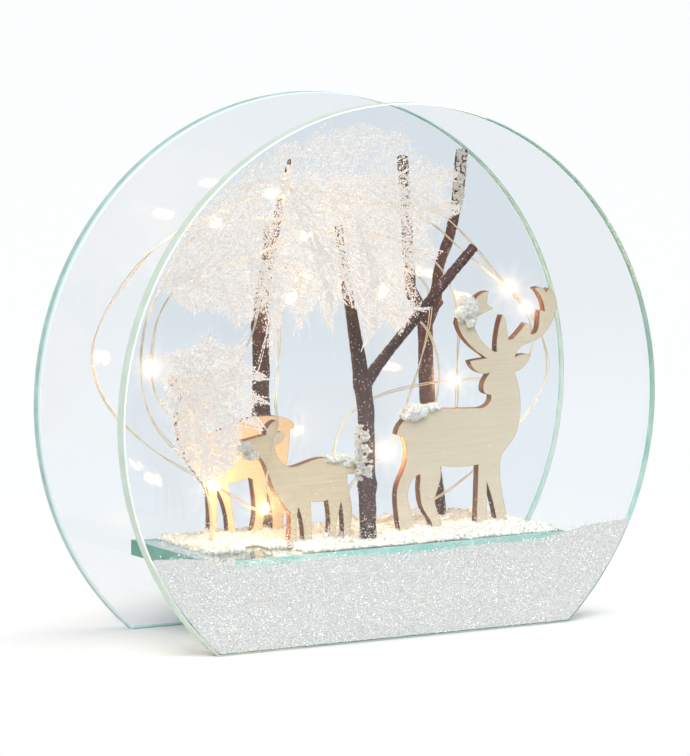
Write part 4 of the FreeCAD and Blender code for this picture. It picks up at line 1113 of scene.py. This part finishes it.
def stroke(start, angle, length, width, outline=None):
    """Centres and headings of the flecks of a bent, tapering needle, cut off at an outline."""
    steps = np.arange(0, length, 0.5)
    bend = angle + random.normal(scale=0.012) * steps
    line = np.array(start) + np.cumsum(np.stack([np.cos(bend), np.sin(bend)], axis=1) * 0.5, axis=0)
    outside = np.nonzero(~within(line, outline))[0] if outline else ()
    reach = outside[0] if len(outside) else len(line)
    if reach < 8:
        return np.empty((0, 2)), np.empty(0)
    count = int(reach * 0.5 * width * 9)
    along = random.uniform(0, reach - 1, count)
    taper = np.clip((reach - along) / (0.5 * reach), 0.15, 1)
    aside = random.uniform(-0.5, 0.5, count) * width * taper
    at = along.astype(int)
    normal = np.stack([-np.sin(bend[at]), np.cos(bend[at])], axis=1)
    return line[at] + normal * aside[:, None], bend[at] + random.normal(scale=0.35, size=count)


def needles(outline, stems, per_mm, most):
    """Flecks of the needles that leave the stems of a print and fan out of its tips."""
    made = []
    for stem, least_lean, most_lean in stems:
        stem = np.array(stem, float)
        for a, b in zip(stem, stem[1:]):
            heading = math.atan2(*(b - a)[::-1])
            for _ in range(int(np.linalg.norm(b - a) * per_mm)):
                lean = math.radians(random.uniform(least_lean, most_lean)) * random.choice([-1, 1])
                start = a + (b - a) * random.random() + random.normal(scale=0.5, size=2)
                made.append(stroke(start, heading + lean, random.uniform(9, 25),
                                   random.uniform(0.3, 0.65), outline))
    corners = np.array(outline, float)
    middle = corners.mean(axis=0)
    for i, tip in enumerate(corners):
        valley = (corners[i - 1] + corners[(i + 1) % len(corners)]) / 2
        inwards = valley - tip
        if np.dot(inwards, middle - tip) <= 0 or np.linalg.norm(inwards) < 2.5:
            continue
        for _ in range(6):
            base = valley + inwards * random.uniform(0.1, 0.9) + random.normal(scale=1.6, size=2)
            way = tip + random.normal(scale=1.3, size=2) - base
            made.append(stroke(base, math.atan2(way[1], way[0]),
                               np.linalg.norm(way) * random.uniform(0.75, 1.05),
                               random.uniform(0.3, 0.5)))
    points = np.concatenate([flecks for flecks, _ in made])
    headings = np.concatenate([angles for _, angles in made])
    kept = random.random(len(points)) < np.where(points[:, 1] > 153, 0.4, 1.0)
    kept &= np.hypot(points[:, 0], points[:, 1] - DISC_MIDDLE) < PRINT_RADIUS
    points, headings = points[kept][:most], headings[kept][:most]
    return points, headings, random.uniform(0.2, 0.48, len(points))


def from_border(points, outline):
    """Distance of points from the nearest side of an outline."""
    nearest = np.full(len(points), np.inf)
    for a, b in zip(np.array(outline, float), np.array(outline[1:] + outline[:1], float)):
        share = np.clip((points - a) @ (b - a) / ((b - a) @ (b - a)), 0, 1)
        nearest = np.minimum(nearest, np.linalg.norm(points - a - share[:, None] * (b - a), axis=1))
    return nearest


def specks(outline, count, patches):
    """Fine spray, which thins in patches, at the border and near the top of the disc."""
    low, high = np.min(outline, axis=0), np.max(outline, axis=0)
    points = random.uniform(low, high, (4 * count, 2))
    points = points[within(points, outline)]
    chance = np.clip(from_border(points, outline) / 3.5, 0.12, 1)
    chance *= np.where(points[:, 1] > 152, 0.3, 1.0)
    chance *= np.clip([1.05 + patches * (0.8 * noise_at(x, 0, z, 7) + noise_at(x, 3, z * 1.6, 2.4))
                       for x, z in points.tolist()], 0.08, 1)
    points = points[random.random(len(points)) < chance][:count]
    return points, random.uniform(-2, 2, len(points)), random.uniform(0.13, 0.36, len(points))


def frost(name, sprays, *nodes):
    """Printed frost: flat flecks that lie on the outer face of the front pane."""
    points, headings, size = (np.concatenate(parts) for parts in zip(*sprays))
    thick = 0.045
    level, flat = np.full(len(points), FRONT_FACE - thick), np.zeros(len(points))
    centres = np.stack([points[:, 0], level, points[:, 1]], axis=1)
    along = np.stack([np.cos(headings), flat, np.sin(headings)], axis=1) * size[:, None]
    across = np.stack([-np.sin(headings), flat, np.cos(headings)], axis=1)
    across *= (size * random.uniform(0.45, 0.8, len(points)))[:, None]
    return belongs(flakes(name, centres, along, across, thick, [M["frost"]]), "white_frost", *nodes)


def glitter():
    """Glitter flakes that lie over the band at all tilts, and stray past its upper edge."""
    low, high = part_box("front_glitter_band")
    count, thick, lowest = 46000, 0.02, 0.7
    x = random.uniform(low.x / MM, high.x / MM, count)
    z = random.uniform(low.z / MM, high.z / MM + 3, count)
    wave = np.interp(x, [-82, -71, -62, -53, -40, -26, -12, 5, 20, 34, 48, 60, 70, 82],
                     [32.8, 31.6, 29.8, 28.6, 27.9, 28.8, 28.3,
                      27.6, 28, 28.8, 28.3, 29.2, 31.4, 32.6])
    top = wave + np.interp(x, [-72, -60, -46, -30, -8], [0, 0.5, 1.3, 0.9, 0.2])
    stray = random.random(count) < 0.75 * np.exp(-(z - top) / 0.55)
    in_disc = np.hypot(x, z - DISC_MIDDLE) < GLITTER_RADIUS
    keep = (z > lowest) & in_disc & ((z < top) | stray)
    x, z = x[keep], z[keep]
    y = np.where(z < wave[keep] - 0.3, FRONT_FACE - 0.24, FRONT_FACE - 0.1)
    along, across = random_axes(len(x), 0.16, 0.36, tilt=0.36)
    centres = np.stack([x, y, z], axis=1)
    return belongs(flakes("glitter_flakes", centres, along, across, thick, [M["flake"]]),
                   "white_glitter")


frost("frost_upper_needles", [needles(UPPER_FROST, UPPER_STEMS, 0.85, 46000)],
      "frost_spray_upper")
frost("frost_upper_specks", [specks(UPPER_FROST, 48000, 0.9)])
frost("frost_lower_flecks",
      [needles(LOWER_FROST, LOWER_STEMS, 0.8, 16000), specks(LOWER_FROST, 8000, 0.9),
       specks(LOWER_CORE, 14500, 1.5)], "frost_spray_lower")
glitter()

# ---------------------------------------------------------------- table


def table():
    """A white table, which gives way well in front of the globe to a darker floor."""
    half = 20
    corners = [(-half, -half, 0), (half, -half, 0), (half, half, 0), (-half, half, 0)]
    mesh = bpy.data.meshes.new("table")
    mesh.from_pydata(corners, [], [(0, 1, 2, 3)])
    finish = Finish("white_table", Roughness=0.6)
    white = finish.ramp(finish.along("Y", -0.86, -0.48),
                        (0.0, (0.20, 0.21, 0.225)), (1.0, (0.885, 0.885, 0.885)))
    # The panes throw no shadow here, so an ellipse round their feet is a little greyer instead.
    middle, half_width, half_depth = 0.025, 0.125, 0.066
    around = finish.node("Mapping", Location=(0, -middle / half_depth, 0),
                         Scale=(1 / half_width, 1 / half_depth, 0), Vector=finish.place)
    reach = finish.node("VectorMath", Vector=around.outputs["Vector"])
    reach.operation = "LENGTH"
    shade = finish.ramp(reach.outputs["Value"], (0.3, (0.585, 0.595, 0.63)), (1.0, (1, 1, 1)))
    finish.colour(finish.mixed(1.0, white, shade, "MULTIPLY"))
    mesh.materials.append(finish.material)
    floor = placed("table", mesh)
    floor.location.z = -0.0001


table()


def lamps_miss_table():
    """The small lamps light the globe only, because the photo's table shows no warm pools."""
    lit = bpy.data.collections.new("lit_by_lamps")
    for thing in scene.objects:
        if thing.type == "MESH" and thing.name != "table":
            lit.objects.link(thing)
    for thing in scene.objects:
        if thing.type == "LIGHT" and thing.data.type == "POINT":
            thing.light_linking.receiver_collection = lit


lamps_miss_table()


def as_lists(box):
    return [list(corner) for corner in box]
